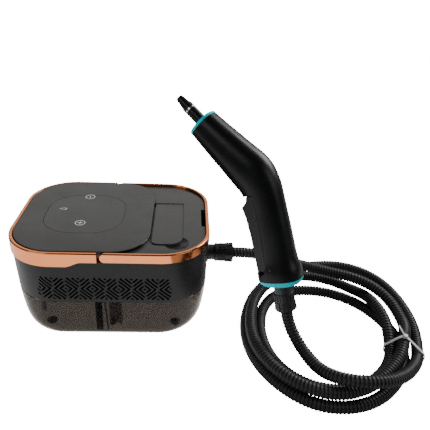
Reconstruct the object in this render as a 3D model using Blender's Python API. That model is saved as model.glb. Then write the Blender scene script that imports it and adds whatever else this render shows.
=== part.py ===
# Portable steam cleaner: a base unit with a water tank, and a steam gun on a ribbed hose.
# Metres, +Z up. The origin is the middle of the tank's flat underside.
# +X points at the side where the hose leaves, +Y to the back.
import math

import bmesh
import bpy
from mathutils import Matrix, Vector

# Clearances and shared values
FIT_GAP = 0.0003
RUN_GAP = 0.0005
OVERRUN = 0.002
ARC_STEPS = 5
ROUND_STEPS = 16
SMALL_STEPS = 12
SMOOTH_ANGLE = math.radians(35)
WELD_REACH = 0.000001

# Base unit: plan and heights
RIM_WIDTH = 0.260
RIM_DEPTH = 0.210
RIM_RADIUS = 0.063
RIM_TOP = 0.140
RIM_THICKNESS = 0.005
RIM_BEVEL = 0.0012
BAND_HEIGHT = 0.0122
LOBE_DROP = 0.0065
LOBE_END = -0.047
LOBE_SLOPE = 0.017
SKIN = 0.0012
HINGE_X = 0.0
SEAM_HEIGHT = 0.061
SEAM_INSET_SIDE = 0.00225
SEAM_INSET_FRONT = 0.008
BODY_WALL = 0.0035

# Water tank
TANK_WALL = 0.003
TANK_FLOOR = 0.003
TANK_PROFILE_SHARES = (
    (0.0, 0.810, 0.830), (0.045, 0.865, 0.895), (0.16, 0.922, 0.945),
    (0.38, 0.962, 0.975), (0.72, 0.988, 0.992), (1.0, 1.0, 1.0))
GASKET_WIDTH = 0.003
GASKET_HEIGHT = 0.002

# Feet, pillars and screws under the base
FOOT_RADIUS = 0.007
FOOT_PROUD = 0.0015
FOOT_SUNK = 0.001
FOOT_EDGE_SHARE = 0.9
FOOT_X_SHARE = 0.3366
FOOT_Y_SHARE = 0.3093
PILLAR_X_SHARE = 0.3679
PILLAR_Y_SHARE = 0.3402
PILLAR_WIDTH = 0.0075
PILLAR_DEPTH = 0.012
PILLAR_WEB = 0.005
PILLAR_FIN = 0.0016
PILLAR_SPREAD = 0.0085
SCREW_RADIUS = 0.0016
SCREW_HEAD_RADIUS = 0.0032
SCREW_HEAD_HEIGHT = 0.0014
SCREW_LENGTH = 0.012

# Chassis plate between tank and body
CHASSIS_THICKNESS = 0.003

# Top cover, raised deck and control panel
COVER_TOP = 0.1365
COVER_THICKNESS = 0.0055
SKIRT_WALL = 0.0025
SKIRT_DROP = 0.009
DECK_TOP = 0.1405
DECK_EDGE_X = 0.052
DECK_EDGE_RADIUS = 0.048
PANEL_X = -0.0405
PANEL_WIDTH = 0.107
PANEL_DEPTH = 0.111
PANEL_RADIUS = 0.042
BOARD_WIDTH = 0.070
BOARD_DEPTH = 0.080
BOARD_THICKNESS = 0.0016
NOTCH_LENGTH = 0.049
NOTCH_WIDTH = 0.0052

# Carry handle ends and pivots
HANDLE_END_ANGLES = (math.radians(80), math.radians(55), math.radians(30), 0.0)
PIVOT_RADIUS = 0.0016
PIVOT_REACH = 0.012

# Filler flap, its hinge pin and the filler neck
FLAP_WIDTH = 0.0415
FLAP_LENGTH = 0.1165
FLAP_BACK_Y = 0.042
FLAP_RADIUS = 0.008
FLAP_RISE = 0.0014
FLAP_FLOOR = 0.0033
FLAP_BARREL_RADIUS = 0.0014
FLAP_PIN_RADIUS = 0.0007
FLAP_PIN_SIDE = 0.0015
FLAP_LEAF = 0.008
FLAP_BARREL_STEPS = 6
DISH_RADIUS = 0.016
DISH_DEPTH = 0.0035
DISH_X_SHARE = 0.80
DISH_Y = -0.068
DISH_STEPS = 24
NECK_X = 0.072
NECK_Y = -0.022
NECK_BORE_RADIUS = 0.014
NECK_WALL = 0.002
NECK_FLANGE = 0.004
NECK_FLANGE_HEIGHT = 0.002
NECK_REACH = 0.008

# Lattice vents in the front and back walls
LATTICE_PITCH = 0.033
LATTICE_FRONT_COUNT = 4
LATTICE_BACK_COUNT = 2
LATTICE_FRONT_X = -0.0018
LATTICE_BACK_X = 0.0312
LATTICE_Z = 0.0845
LATTICE_CUT = 0.020
LATTICE_TURN = math.radians(45)
# Each share is a slot of one diamond: middle x, middle z, length along x, length along z
FRET_SHARES = (
    (0.27, 0.0, 0.09, 0.34), (0.0, 0.27, 0.34, 0.09), (-0.27, 0.0, 0.09, 0.34),
    (0.0, -0.27, 0.34, 0.09), (0.08, 0.08, 0.14, 0.09), (-0.08, -0.08, 0.14, 0.09))

# Inside the body: boiler, pump, pipes, valve, boards and inlet
BOILER_RADIUS = 0.024
BOILER_LENGTH = 0.086
BOILER_X_SHARE = -0.2035
BOILER_Y_SHARE = 0.1546
BOILER_RISE = 0.008
BOILER_END_SHARE = 0.82
CRADLE_WIDTH = 0.040
CRADLE_LENGTH = 0.050
THERMOSTAT_RADIUS = 0.008
THERMOSTAT_HEIGHT = 0.006
PUMP_X_SHARE = -0.1761
PUMP_Y_SHARE = -0.2577
PUMP_RADIUS = 0.014
PUMP_LENGTH = 0.050
PUMP_NECK_RADIUS = 0.006
PUMP_NECK_LENGTH = 0.010
PUMP_RISE = 0.006
PIPE_RADIUS = 0.003
PIPE_BEND = 0.018
PIPE_RUN_SHARE = 1.5
PIPE_SAMPLES = 4
SUCTION_POINTS = 14
FEED_POINTS = 18
STEAM_POINTS = 20
VALVE_RADIUS = 0.006
VALVE_HEIGHT = 0.012
SUPPLY_X_SHARE = 0.1174
SUPPLY_Y_SHARE = -0.2835
SUPPLY_LENGTH = 0.060
SUPPLY_DEPTH = 0.036
SUPPLY_RISE = 0.006
INLET_X_SHARE = -0.2153
INLET_Z = 0.078
INLET_RADIUS = 0.008
INLET_FLANGE_RADIUS = 0.011
INLET_FLANGE = 0.003
INLET_STANDOFF = 0.0018
INLET_BORE_RADIUS = 0.0035
INLET_EDGE_SHARE = 0.9

# Hose connectors
GLAND_Z = 0.0805
GLAND_STEM_RADIUS = 0.0115
GLAND_FLANGE_RADIUS = 0.0145
GLAND_FLANGE = 0.003
GLAND_BODY_LENGTH = 0.018
GLAND_NUT_RADIUS = 0.0135
GLAND_NUT_LENGTH = 0.0271
GLAND_CLAWS = 8
GLAND_CLAW_LENGTH = 0.004
GLAND_TAPER_SHARE = 0.94
GLAND_CLAW_RISE = 0.0012

# Steam hose: a coil laid in four passes, tied at the front
HOSE_RADIUS = 0.008
HOSE_VALLEY_SHARE = 0.87
HOSE_BORE_RADIUS = 0.004
HOSE_RIBS = 130
HOSE_BORE_STRIDE = 3
HOSE_SAMPLES = 12
HOSE_ROUTE = (
    (0.208, 0.001, 0.0775), (0.233, 0.005, 0.069), (0.258, 0.01, 0.058),
    (0.283, 0.014, 0.049), (0.307, 0.016, 0.042), (0.328, 0.011, 0.039),
    (0.349, 0.001, 0.04), (0.37, -0.012, 0.039), (0.389, -0.028, 0.034),
    (0.402, -0.047, 0.026), (0.406, -0.068, 0.021), (0.4045, -0.088, 0.0223),
    (0.398, -0.107, 0.027), (0.389, -0.125, 0.0285), (0.38, -0.145, 0.0275),
    (0.368, -0.162, 0.025), (0.351, -0.178, 0.022), (0.33, -0.194, 0.021),
    (0.306, -0.206, 0.021), (0.28, -0.213, 0.023), (0.253, -0.208, 0.024),
    (0.227, -0.193, 0.024), (0.206, -0.168, 0.024), (0.192, -0.139, 0.024),
    (0.188, -0.108, 0.024), (0.19, -0.078, 0.024), (0.196, -0.049, 0.024),
    (0.207, -0.022, 0.024), (0.224, 0.002, 0.024), (0.246, 0.022, 0.022),
    (0.27, 0.036, 0.016), (0.294, 0.044, 0.01), (0.317, 0.043, 0.007),
    (0.338, 0.033, 0.007), (0.355, 0.015, 0.0095), (0.366, -0.007, 0.0165),
    (0.372, -0.03, 0.025), (0.3765, -0.055, 0.027), (0.38, -0.078, 0.0245),
    (0.379, -0.099, 0.0193), (0.376, -0.118, 0.0125), (0.372, -0.135, 0.009),
    (0.361, -0.154, 0.0075), (0.345, -0.17, 0.007), (0.327, -0.183, 0.007),
    (0.306, -0.191, 0.007), (0.284, -0.193, 0.007), (0.262, -0.189, 0.007),
    (0.24, -0.177, 0.007), (0.221, -0.157, 0.007), (0.209, -0.13, 0.007),
    (0.204, -0.1, 0.007), (0.205, -0.069, 0.007), (0.213, -0.038, 0.007),
    (0.229, -0.011, 0.007), (0.251, 0.004, 0.007), (0.277, 0.009, 0.007),
    (0.303, 0.008, 0.007), (0.327, 0.001, 0.007), (0.351, -0.013, 0.007),
    (0.37, -0.034, 0.007), (0.384, -0.058, 0.007), (0.391, -0.085, 0.0075),
    (0.394, -0.111, 0.0085), (0.39, -0.135, 0.0085), (0.38, -0.158, 0.0075),
    (0.364, -0.18, 0.007), (0.343, -0.199, 0.007), (0.319, -0.213, 0.007),
    (0.29, -0.219, 0.007), (0.261, -0.216, 0.007), (0.238, -0.204, 0.007),
    (0.216, -0.184, 0.007), (0.198, -0.157, 0.007), (0.187, -0.128, 0.007),
    (0.183, -0.097, 0.007), (0.185, -0.065, 0.007), (0.193, -0.032, 0.007),
    (0.207, 0.0, 0.007), (0.229, 0.03, 0.007), (0.258, 0.055, 0.007),
    (0.291, 0.073, 0.007), (0.325, 0.081, 0.007), (0.359, 0.081, 0.007),
    (0.389, 0.067, 0.007), (0.411, 0.043, 0.007), (0.423, 0.012, 0.007),
    (0.428, -0.019, 0.007), (0.429, -0.05, 0.007), (0.426, -0.08, 0.007),
    (0.419, -0.105, 0.0078), (0.411, -0.127, 0.0095), (0.402, -0.147, 0.0145),
    (0.388, -0.167, 0.022), (0.371, -0.186, 0.0285), (0.35, -0.202, 0.0355),
    (0.326, -0.211, 0.0405), (0.303, -0.2115, 0.0415), (0.283, -0.204, 0.0385),
    (0.269, -0.1905, 0.033), (0.261, -0.175, 0.0285), (0.255, -0.1605, 0.0275),
    (0.2488, -0.1483, 0.0303), (0.242, -0.1375, 0.0367), (0.2358, -0.1287, 0.0462),
    (0.2308, -0.1223, 0.0578))
TIE_Y = -0.132
TIE_STRANDS = 4
TIE_GAP = 0.0007
TIE_SIDE_GAP = 0.0016
TIE_WIDTH = 0.0036
TIE_THICKNESS = 0.0012
TIE_HEAD = 0.0055
TIE_HEAD_SHARE = 0.8
TIE_SUNK_SHARE = 0.7

# Steam gun: its frame stands at the hose end, +X towards the nozzle, +Z up the handle
GUN_FOOT = (0.2279, -0.1183, 0.0709)
GUN_YAW = math.radians(153)
GUN_LEAN = math.radians(10)
GUN_SIZE = 0.2965
GRIP_DEPTH_SHARE = 484 / 2965
GRIP_WIDTH_SHARE = 376 / 2965
SHELL_WALL = 0.0024
SHELL_ROUND = 2.3
SHELL_SIDE_STEPS = 7
END_ANGLE = math.radians(72)
NOZZLE_ANGLE = math.radians(34.5)
# Each share is a station from end cap to nozzle: x, z, axis angle, depth, width
GUN_STATION_SHARES = (
    (0.0480, 0.1400, 72.0, 1.175, 1.210), (0.0600, 0.1767, 71.5, 1.165, 1.175),
    (0.0717, 0.2133, 71.0, 1.040, 1.060), (0.0917, 0.2667, 69.5, 1.005, 1.010),
    (0.1200, 0.3400, 68.5, 1.000, 1.000), (0.1483, 0.4067, 67.5, 1.000, 1.000),
    (0.1720, 0.4617, 64.5, 1.015, 1.040), (0.2000, 0.5133, 56.0, 1.060, 1.100),
    (0.2467, 0.5617, 43.0, 1.125, 1.150), (0.3250, 0.6133, 35.5, 1.010, 1.130),
    (0.4067, 0.6667, 34.5, 0.900, 1.080), (0.4783, 0.7150, 34.5, 0.804, 1.035))
CAP_HEIGHT = 0.0085
CAP_END_SHARE = 0.72
CAP_MIDDLE_SHARE = 0.55
CAP_BULGE_SHARE = 0.93
RING_LENGTH = 0.004
TUBE_RADIUS = 0.0073
TUBE_BORE_RADIUS = 0.0040
TUBE_LENGTH = 0.0245
TUBE_SUNK = 0.010
SILVER_LENGTH = 0.0025
SILVER_RADIUS = 0.0074
TIP_COLLAR_LENGTH = 0.005
TIP_COLLAR_RADIUS = 0.0066
TIP_LENGTH = 0.0145
TIP_RADIUS = 0.0044
TIP_BORE_RADIUS = 0.0018
GUN_GLAND_LENGTH = 0.024
GUN_GLAND_REACH = 0.012

# Trigger, its pin, spring and switch, as shares of the gun's size
TRIGGER_WIDTH_SHARE = 260 / 376
TRIGGER_PIVOT_SHARES = (0.0833, 0.1833)
TRIGGER_EDGE_SHARES = (
    (0.2570, 0.4083), (0.2250, 0.3733), (0.1950, 0.3050), (0.1660, 0.2300),
    (0.1500, 0.1833), (0.1400, 0.1580), (0.0750, 0.1640), (0.0670, 0.1850),
    (0.0800, 0.2100), (0.1183, 0.2917))
TRIGGER_REACH_SHARE = 0.318
TRIGGER_TOP_ANGLES = (math.radians(71.5), math.radians(57))
TRIGGER_TOP_GAP = 0.0010
SLOT_EDGE_SHARES = (
    (0.1410, 0.3023), (0.1050, 0.1867), (0.1050, 0.1540), (0.1200, 0.1417), (0.1900, 0.1417),
    (0.3000, 0.2000))
SLOT_TOP_ANGLES = (math.radians(30), math.radians(67.5))
TRIGGER_PIN_RADIUS = 0.0015
SPRING_WIRE_RADIUS = 0.0005
SPRING_TURNS = 2
SPRING_TURN_STEPS = 12
SPRING_PITCH = 0.0012
SWITCH_WIDTH_SHARE = 0.66
SWITCH_DEPTH = 0.0050
SWITCH_HEIGHT = 0.020
SWITCH_SHARES = (0.1120, 0.4220)
SWITCH_ANGLE = math.radians(-22)
GUN_PIPE_SHARES = (
    (0.0300, 0.1700), (0.0283, 0.2267), (0.0400, 0.2933), (0.0630, 0.3630),
    (0.0917, 0.4307), (0.1150, 0.4880), (0.1447, 0.5507), (0.2067, 0.6000),
    (0.2933, 0.6467), (0.3900, 0.6900))
GUN_PIPE_POINTS = 24
GUN_SCREW_SHARES = ((0.0600, 0.2350), (0.0850, 0.3450), (0.3000, 0.6250))
GUN_SCREW_DEPTH = 0.010

# Derived sizes
GRIP_DEPTH = GUN_SIZE * GRIP_DEPTH_SHARE
GRIP_WIDTH = GUN_SIZE * GRIP_WIDTH_SHARE
TRIGGER_WIDTH = GRIP_WIDTH * TRIGGER_WIDTH_SHARE
SEAM_WIDTH = RIM_WIDTH - 2 * SEAM_INSET_SIDE
SEAM_DEPTH = RIM_DEPTH - 2 * SEAM_INSET_FRONT
FOOT_X = SEAM_WIDTH * FOOT_X_SHARE
FOOT_Y = SEAM_DEPTH * FOOT_Y_SHARE
PILLAR_X = SEAM_WIDTH * PILLAR_X_SHARE
PILLAR_Y = SEAM_DEPTH * PILLAR_Y_SHARE
BOILER_X = SEAM_WIDTH * BOILER_X_SHARE
BOILER_Y = SEAM_DEPTH * BOILER_Y_SHARE
PUMP_X = SEAM_WIDTH * PUMP_X_SHARE
PUMP_Y = SEAM_DEPTH * PUMP_Y_SHARE
SUPPLY_X = SEAM_WIDTH * SUPPLY_X_SHARE
SUPPLY_Y = SEAM_DEPTH * SUPPLY_Y_SHARE
INLET_X = SEAM_WIDTH * INLET_X_SHARE
BAND_BOTTOM = RIM_TOP - BAND_HEIGHT
BODY_TOP = BAND_BOTTOM - FIT_GAP
BODY_BOTTOM = SEAM_HEIGHT + FIT_GAP
BODY_INSET = SKIN + FIT_GAP
BODY_WIDTH = RIM_WIDTH - 2 * BODY_INSET
BODY_DEPTH = RIM_DEPTH - 2 * BODY_INSET
BODY_RADIUS = RIM_RADIUS - BODY_INSET
COVER_INSET = RIM_THICKNESS + RUN_GAP
COVER_WIDTH = RIM_WIDTH - 2 * COVER_INSET
COVER_DEPTH = RIM_DEPTH - 2 * COVER_INSET
COVER_RADIUS = RIM_RADIUS - COVER_INSET
COVER_BOTTOM = COVER_TOP - COVER_THICKNESS
CHASSIS_BOTTOM = SEAM_HEIGHT + FIT_GAP
CHASSIS_TOP = CHASSIS_BOTTOM + CHASSIS_THICKNESS
PIVOT_Z = (RIM_TOP + BAND_BOTTOM) / 2
FLAP_LEFT = DECK_EDGE_X + RUN_GAP
FLAP_MIDDLE_X = FLAP_LEFT + FLAP_WIDTH / 2
FLAP_MIDDLE_Y = FLAP_BACK_Y - FLAP_LENGTH / 2
FLAP_SEAT = COVER_TOP - FLAP_FLOOR
FLAP_BOTTOM = FLAP_SEAT + FIT_GAP
FLAP_AXIS_Y = FLAP_BACK_Y - FLAP_BARREL_RADIUS
FLAP_AXIS_Z = FLAP_BOTTOM + FLAP_BARREL_RADIUS


def clear_scene():
    """Remove whatever the file holds before the model is made."""
    for thing in list(bpy.data.objects):
        bpy.data.objects.remove(thing, do_unlink=True)


def make_material(name, colour, roughness, metallic=0.0):
    """A Principled material with one colour, roughness and metallic value."""
    material = bpy.data.materials.new(name)
    material.use_nodes = True
    shader = material.node_tree.nodes["Principled BSDF"]
    shader.inputs["Base Color"].default_value = (*colour, 1.0)
    shader.inputs["Roughness"].default_value = roughness
    shader.inputs["Metallic"].default_value = metallic
    material.diffuse_color = (*colour, 1.0)
    return material


def place(name, mesh, material, parent=None, location=(0, 0, 0)):
    """Link a finished mesh as a named object under its parent."""
    mesh.materials.clear()
    mesh.materials.append(material)
    thing = bpy.data.objects.new(name, mesh)
    thing.location = location
    thing.parent = parent
    bpy.context.scene.collection.objects.link(thing)
    return thing


def finish(name, shape, material, parent=None, location=(0, 0, 0)):
    """Turn a bmesh into a shaded object whose faces point out."""
    bmesh.ops.recalc_face_normals(shape, faces=shape.faces)
    mesh = bpy.data.meshes.new(name)
    shape.to_mesh(mesh)
    shape.free()
    mesh.shade_smooth()
    mesh.set_sharp_from_angle(angle=SMOOTH_ANGLE)
    return place(name, mesh, material, parent, location)


def cut(target, shape):
    """Take a shape away from an object, with the cutter kept as a hidden guide."""
    cutter = finish("cutter_" + target.name, shape, target.data.materials[0],
                    target.parent, target.location)
    cutter.hide_render = True
    cutter.display_type = "WIRE"
    boolean = target.modifiers.new("cut", "BOOLEAN")
    boolean.operation = "DIFFERENCE"
    boolean.solver = "EXACT"
    boolean.object = cutter


def add_empty(name, location, rotation=(0, 0, 0), parent=None):
    """An empty that carries a moving or turned group."""
    empty = bpy.data.objects.new(name, None)
    empty.location = location
    empty.rotation_euler = rotation
    empty.parent = parent
    bpy.context.scene.collection.objects.link(empty)
    return empty


def rounded_outline(width, depth, radius, middle=(0, 0)):
    """A rounded rectangle in plan, anticlockwise from its right side."""
    radius = min(radius, width / 2, depth / 2)
    points = []
    for turn in range(4):
        sign_x = 1 if turn in (0, 3) else -1
        sign_y = 1 if turn in (0, 1) else -1
        for step in range(ARC_STEPS + 1):
            angle = math.pi / 2 * (turn + step / ARC_STEPS)
            x = sign_x * (width / 2 - radius) + radius * math.cos(angle)
            y = sign_y * (depth / 2 - radius) + radius * math.sin(angle)
            points.append((middle[0] + x, middle[1] + y))
    return points


def level(outline, z):
    """An outline in plan lifted to a height."""
    return [(x, y, z) for x, y in outline]


def circle(radius, z, steps=ROUND_STEPS):
    """A ring of points around the Z axis."""
    turns = [2 * math.pi * step / steps for step in range(steps)]
    return [(radius * math.cos(turn), radius * math.sin(turn), z) for turn in turns]


def skin(rings, closed=False, shape=None, open_ring=False):
    """Join rings of equal counts into a body; closed joins the last ring to the first."""
    shape = shape or bmesh.new()
    loops = [[shape.verts.new(point) for point in ring] for ring in rings]
    pairs = list(zip(loops, loops[1:]))
    if closed:
        pairs.append((loops[-1], loops[0]))
    else:
        shape.faces.new(loops[0])
        shape.faces.new(loops[-1])
    for lower, upper in pairs:
        count = len(lower)
        for index in range(count):
            after = (index + 1) % count
            shape.faces.new((lower[index], lower[after], upper[after], upper[index]))
    return shape


def prism(outline, low, high, shape=None):
    """An outline in plan made solid between two heights."""
    return skin([level(outline, low), level(outline, high)], shape=shape)


def turned(profile, steps=ROUND_STEPS, closed=False, shape=None):
    """A round body from (radius, height) pairs around the Z axis."""
    return skin([circle(radius, z, steps) for radius, z in profile], closed, shape)


def moved(shape, matrix):
    """A shape carried to its place."""
    bmesh.ops.transform(shape, matrix=matrix, verts=shape.verts)
    return shape


def along(point, direction):
    """The matrix that lays the Z axis along a direction at a point."""
    turn = Vector(direction).to_track_quat("Z", "Y").to_matrix().to_4x4()
    return Matrix.Translation(point) @ turn


def box(size, middle, bevel=0.0):
    """A block with its vertical edges rounded."""
    shape = prism(rounded_outline(size[0], size[1], bevel) if bevel else
                  [(-size[0] / 2, -size[1] / 2), (size[0] / 2, -size[1] / 2),
                   (size[0] / 2, size[1] / 2), (-size[0] / 2, size[1] / 2)],
                  -size[2] / 2, size[2] / 2)
    return moved(shape, Matrix.Translation(middle))


def smooth_curve(route, samples):
    """Points of a uniform cubic B-spline that starts and ends on the route's ends."""
    points = [Vector(point) for point in route]
    points = [2 * points[0] - points[1]] + points + [2 * points[-1] - points[-2]]
    curve = []
    for index in range(len(points) - 3):
        a, b, c, d = points[index:index + 4]
        for step in range(samples):
            t = step / samples
            curve.append(((1 - t) ** 3 * a + (3 * t ** 3 - 6 * t * t + 4) * b
                          + (-3 * t ** 3 + 3 * t * t + 3 * t + 1) * c + t ** 3 * d) / 6)
    curve.append(points[-2])
    return curve


def even_points(curve, count):
    """The same curve with points at equal distances along it."""
    marks = [0.0]
    for before, after in zip(curve, curve[1:]):
        marks.append(marks[-1] + (after - before).length)
    points = []
    index = 0
    for step in range(count):
        mark = marks[-1] * step / (count - 1)
        while index < len(curve) - 2 and marks[index + 1] < mark:
            index += 1
        share = (mark - marks[index]) / (marks[index + 1] - marks[index])
        points.append(curve[index].lerp(curve[index + 1], min(share, 1.0)))
    return points


def tube_mesh(name, points, radius, factors=None, resolution=2):
    """The mesh of a bevelled POLY curve with filled caps."""
    curve = bpy.data.curves.new(name, "CURVE")
    curve.dimensions = "3D"
    curve.bevel_depth = radius
    curve.bevel_resolution = resolution
    curve.use_fill_caps = True
    spline = curve.splines.new("POLY")
    spline.points.add(len(points) - 1)
    for index, point in enumerate(points):
        spline.points[index].co = Vector(point).to_4d()
        spline.points[index].radius = factors[index] if factors else 1.0
    guide = bpy.data.objects.new(name + "_path", curve)
    bpy.context.scene.collection.objects.link(guide)
    graph = bpy.context.evaluated_depsgraph_get()
    mesh = bpy.data.meshes.new_from_object(guide.evaluated_get(graph))
    bpy.data.objects.remove(guide, do_unlink=True)
    shape = bmesh.new()
    shape.from_mesh(mesh)
    bmesh.ops.remove_doubles(shape, verts=shape.verts, dist=WELD_REACH)
    bmesh.ops.recalc_face_normals(shape, faces=shape.faces)
    shape.to_mesh(mesh)
    shape.free()
    return mesh


def tube(name, points, radius, material, parent=None, resolution=1):
    """A plain bent tube as its own object."""
    mesh = tube_mesh(name, points, radius, resolution=resolution)
    mesh.shade_smooth()
    mesh.set_sharp_from_angle(angle=SMOOTH_ANGLE)
    return place(name, mesh, material, parent)


def body_outline(z, inset=0.0):
    """The body's plan at a height, between the seam and the top."""
    share = (z - SEAM_HEIGHT) / (BAND_BOTTOM - SEAM_HEIGHT)
    width = SEAM_WIDTH + (BODY_WIDTH - SEAM_WIDTH) * share - 2 * inset
    depth = SEAM_DEPTH + (BODY_DEPTH - SEAM_DEPTH) * share - 2 * inset
    return rounded_outline(width, depth, BODY_RADIUS - inset)


def tank_outline(shares, inset=0.0):
    """The tank's plan at one station of its profile."""
    width = SEAM_WIDTH * shares[1]
    depth = SEAM_DEPTH * shares[2]
    drawn_in = (SEAM_WIDTH - width + SEAM_DEPTH - depth) / 4
    radius = BODY_RADIUS - drawn_in - inset
    return rounded_outline(width - 2 * inset, depth - 2 * inset, radius)


def pillar_places():
    """The four screw pillars: name, place in plan and the way each faces."""
    return (("front", (0, -PILLAR_Y), -math.pi / 2), ("rear", (0, PILLAR_Y), math.pi / 2),
            ("left", (-PILLAR_X, 0), math.pi), ("right", (PILLAR_X, 0), 0))


def foot_places():
    """The four rubber feet: name and place in plan."""
    return [(end + "_" + side, (x * FOOT_X, y * FOOT_Y))
            for end, y in (("front", -1), ("rear", 1)) for side, x in (("left", -1), ("right", 1))]


def make_tank(material):
    """The smoked water tank: an open bowl with holes for feet and screws."""
    rings = [level(tank_outline(shares), SEAM_HEIGHT * shares[0])
             for shares in TANK_PROFILE_SHARES]
    for shares in reversed(TANK_PROFILE_SHARES):
        z = max(SEAM_HEIGHT * shares[0], TANK_FLOOR)
        if shares is TANK_PROFILE_SHARES[0]:
            continue
        rings.append(level(tank_outline(shares, TANK_WALL), z))
    tank = finish("water_tank", skin(rings), material)
    holes = bmesh.new()
    for _, (x, y) in foot_places():
        profile = ((FOOT_RADIUS + FIT_GAP, -OVERRUN), (FOOT_RADIUS + FIT_GAP, FOOT_SUNK + FIT_GAP))
        foot = moved(turned(profile), Matrix.Translation((x, y, 0)))
        append(holes, foot)
    for _, (x, y), _ in pillar_places():
        head = SCREW_HEAD_RADIUS + FIT_GAP
        shank = SCREW_RADIUS + FIT_GAP
        seat = SCREW_HEAD_HEIGHT + FIT_GAP
        profile = ((head, -OVERRUN), (head, seat), (shank, seat), (shank, TANK_FLOOR + OVERRUN))
        append(holes, moved(turned(profile, SMALL_STEPS), Matrix.Translation((x, y, 0))))
    cut(tank, holes)


def append(whole, piece):
    """Add one bmesh to another as a separate body."""
    mesh = bpy.data.meshes.new("piece")
    piece.to_mesh(mesh)
    piece.free()
    whole.from_mesh(mesh)
    bpy.data.meshes.remove(mesh)


def make_gasket(material):
    """The flat seal between the tank's rim and the chassis."""
    inset = TANK_WALL + FIT_GAP
    low = SEAM_HEIGHT - GASKET_HEIGHT
    high = SEAM_HEIGHT
    outer = [rounded_outline(SEAM_WIDTH * share_w - 2 * inset, SEAM_DEPTH * share_d - 2 * inset,
                             BODY_RADIUS - inset)
             for share_w, share_d in (gasket_share(low), gasket_share(high))]
    inner = rounded_outline(SEAM_WIDTH - 2 * (inset + GASKET_WIDTH),
                            SEAM_DEPTH - 2 * (inset + GASKET_WIDTH),
                            BODY_RADIUS - inset - GASKET_WIDTH)
    rings = [level(outer[0], low), level(outer[1], high), level(inner, high), level(inner, low)]
    finish("tank_gasket", skin(rings, closed=True), material)


def gasket_share(z):
    """The tank's width and depth shares at a height near its rim."""
    lower, upper = TANK_PROFILE_SHARES[-2:]
    share = (z / SEAM_HEIGHT - lower[0]) / (upper[0] - lower[0])
    return [lower[index] + (upper[index] - lower[index]) * share for index in (1, 2)]


def make_feet(material):
    """Four rubber feet sunk in the tank's underside."""
    for name, (x, y) in foot_places():
        profile = ((FOOT_RADIUS * FOOT_EDGE_SHARE, -FOOT_PROUD), (FOOT_RADIUS, -FOOT_PROUD / 2),
                   (FOOT_RADIUS, FOOT_SUNK))
        finish("foot_" + name, moved(turned(profile), Matrix.Translation((x, y, 0))), material)


def make_pillars(dark, steel):
    """Screw pillars between the tank's floor and the chassis, with their screws."""
    low = TANK_FLOOR + FIT_GAP
    high = CHASSIS_BOTTOM - FIT_GAP
    for name, (x, y), turn in pillar_places():
        edge = PILLAR_WIDTH / 2
        back = -PILLAR_DEPTH / 2
        front = PILLAR_DEPTH / 2
        web = front - PILLAR_WEB
        far = PILLAR_SPREAD + edge
        outline = ((back, -edge), (front, -edge), (front, edge), (web, edge),
                   (web, far - PILLAR_FIN), (front, far - PILLAR_FIN), (front, far),
                   (back, far))
        shape = prism(outline, low, high)
        place_at = Matrix.Translation((x, y, 0)) @ Matrix.Rotation(turn, 4, "Z")
        pillar = finish("tank_pillar_" + name, moved(shape, place_at), dark)
        hole = turned(((SCREW_RADIUS + FIT_GAP, low - OVERRUN),
                       (SCREW_RADIUS + FIT_GAP, SCREW_LENGTH + FIT_GAP)), SMALL_STEPS)
        cut(pillar, moved(hole, Matrix.Translation((x, y, 0))))
        profile = ((SCREW_HEAD_RADIUS, 0), (SCREW_HEAD_RADIUS, SCREW_HEAD_HEIGHT),
                   (SCREW_RADIUS, SCREW_HEAD_HEIGHT), (SCREW_RADIUS, SCREW_LENGTH))
        screw = moved(turned(profile, SMALL_STEPS), Matrix.Translation((x, y, 0)))
        finish("tank_screw_" + name, screw, steel)


def make_chassis(material):
    """The plate that closes the tank and carries the working parts."""
    outline_low = body_outline(CHASSIS_BOTTOM, BODY_WALL + FIT_GAP)
    shape = prism(outline_low, CHASSIS_BOTTOM, CHASSIS_TOP)
    chassis = finish("chassis_plate", shape, material)
    holes = bmesh.new()
    neck = NECK_BORE_RADIUS + NECK_WALL + FIT_GAP
    for radius, (x, y) in ((neck, (NECK_X, NECK_Y)), (PIPE_RADIUS + FIT_GAP, suction_place())):
        profile = ((radius, CHASSIS_BOTTOM - OVERRUN), (radius, CHASSIS_TOP + OVERRUN))
        append(holes, moved(turned(profile), Matrix.Translation((x, y, 0))))
    cut(chassis, holes)


def suction_place():
    """Where the pump's suction tube goes down, in plan."""
    return (PUMP_X - PUMP_LENGTH / 2 - PUMP_NECK_LENGTH - PIPE_BEND, PUMP_Y)


def fret_slots(middle_x, middle_z, y, upper=True, lower=True):
    """The slots of one lattice diamond, as blocks through a wall."""
    slots = bmesh.new()
    turn = Matrix.Rotation(LATTICE_TURN, 4, "Y")
    for x, z, length_x, length_z in FRET_SHARES:
        centre = turn @ Vector((x * LATTICE_PITCH, 0, z * LATTICE_PITCH))
        if (centre.z > FIT_GAP and not upper) or (centre.z < -FIT_GAP and not lower):
            continue
        block = box((length_x * LATTICE_PITCH, LATTICE_CUT, length_z * LATTICE_PITCH), (0, 0, 0))
        spot = Matrix.Translation((middle_x + centre.x, y, middle_z + centre.z)) @ turn
        append(slots, moved(block, spot))
    return slots


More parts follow.
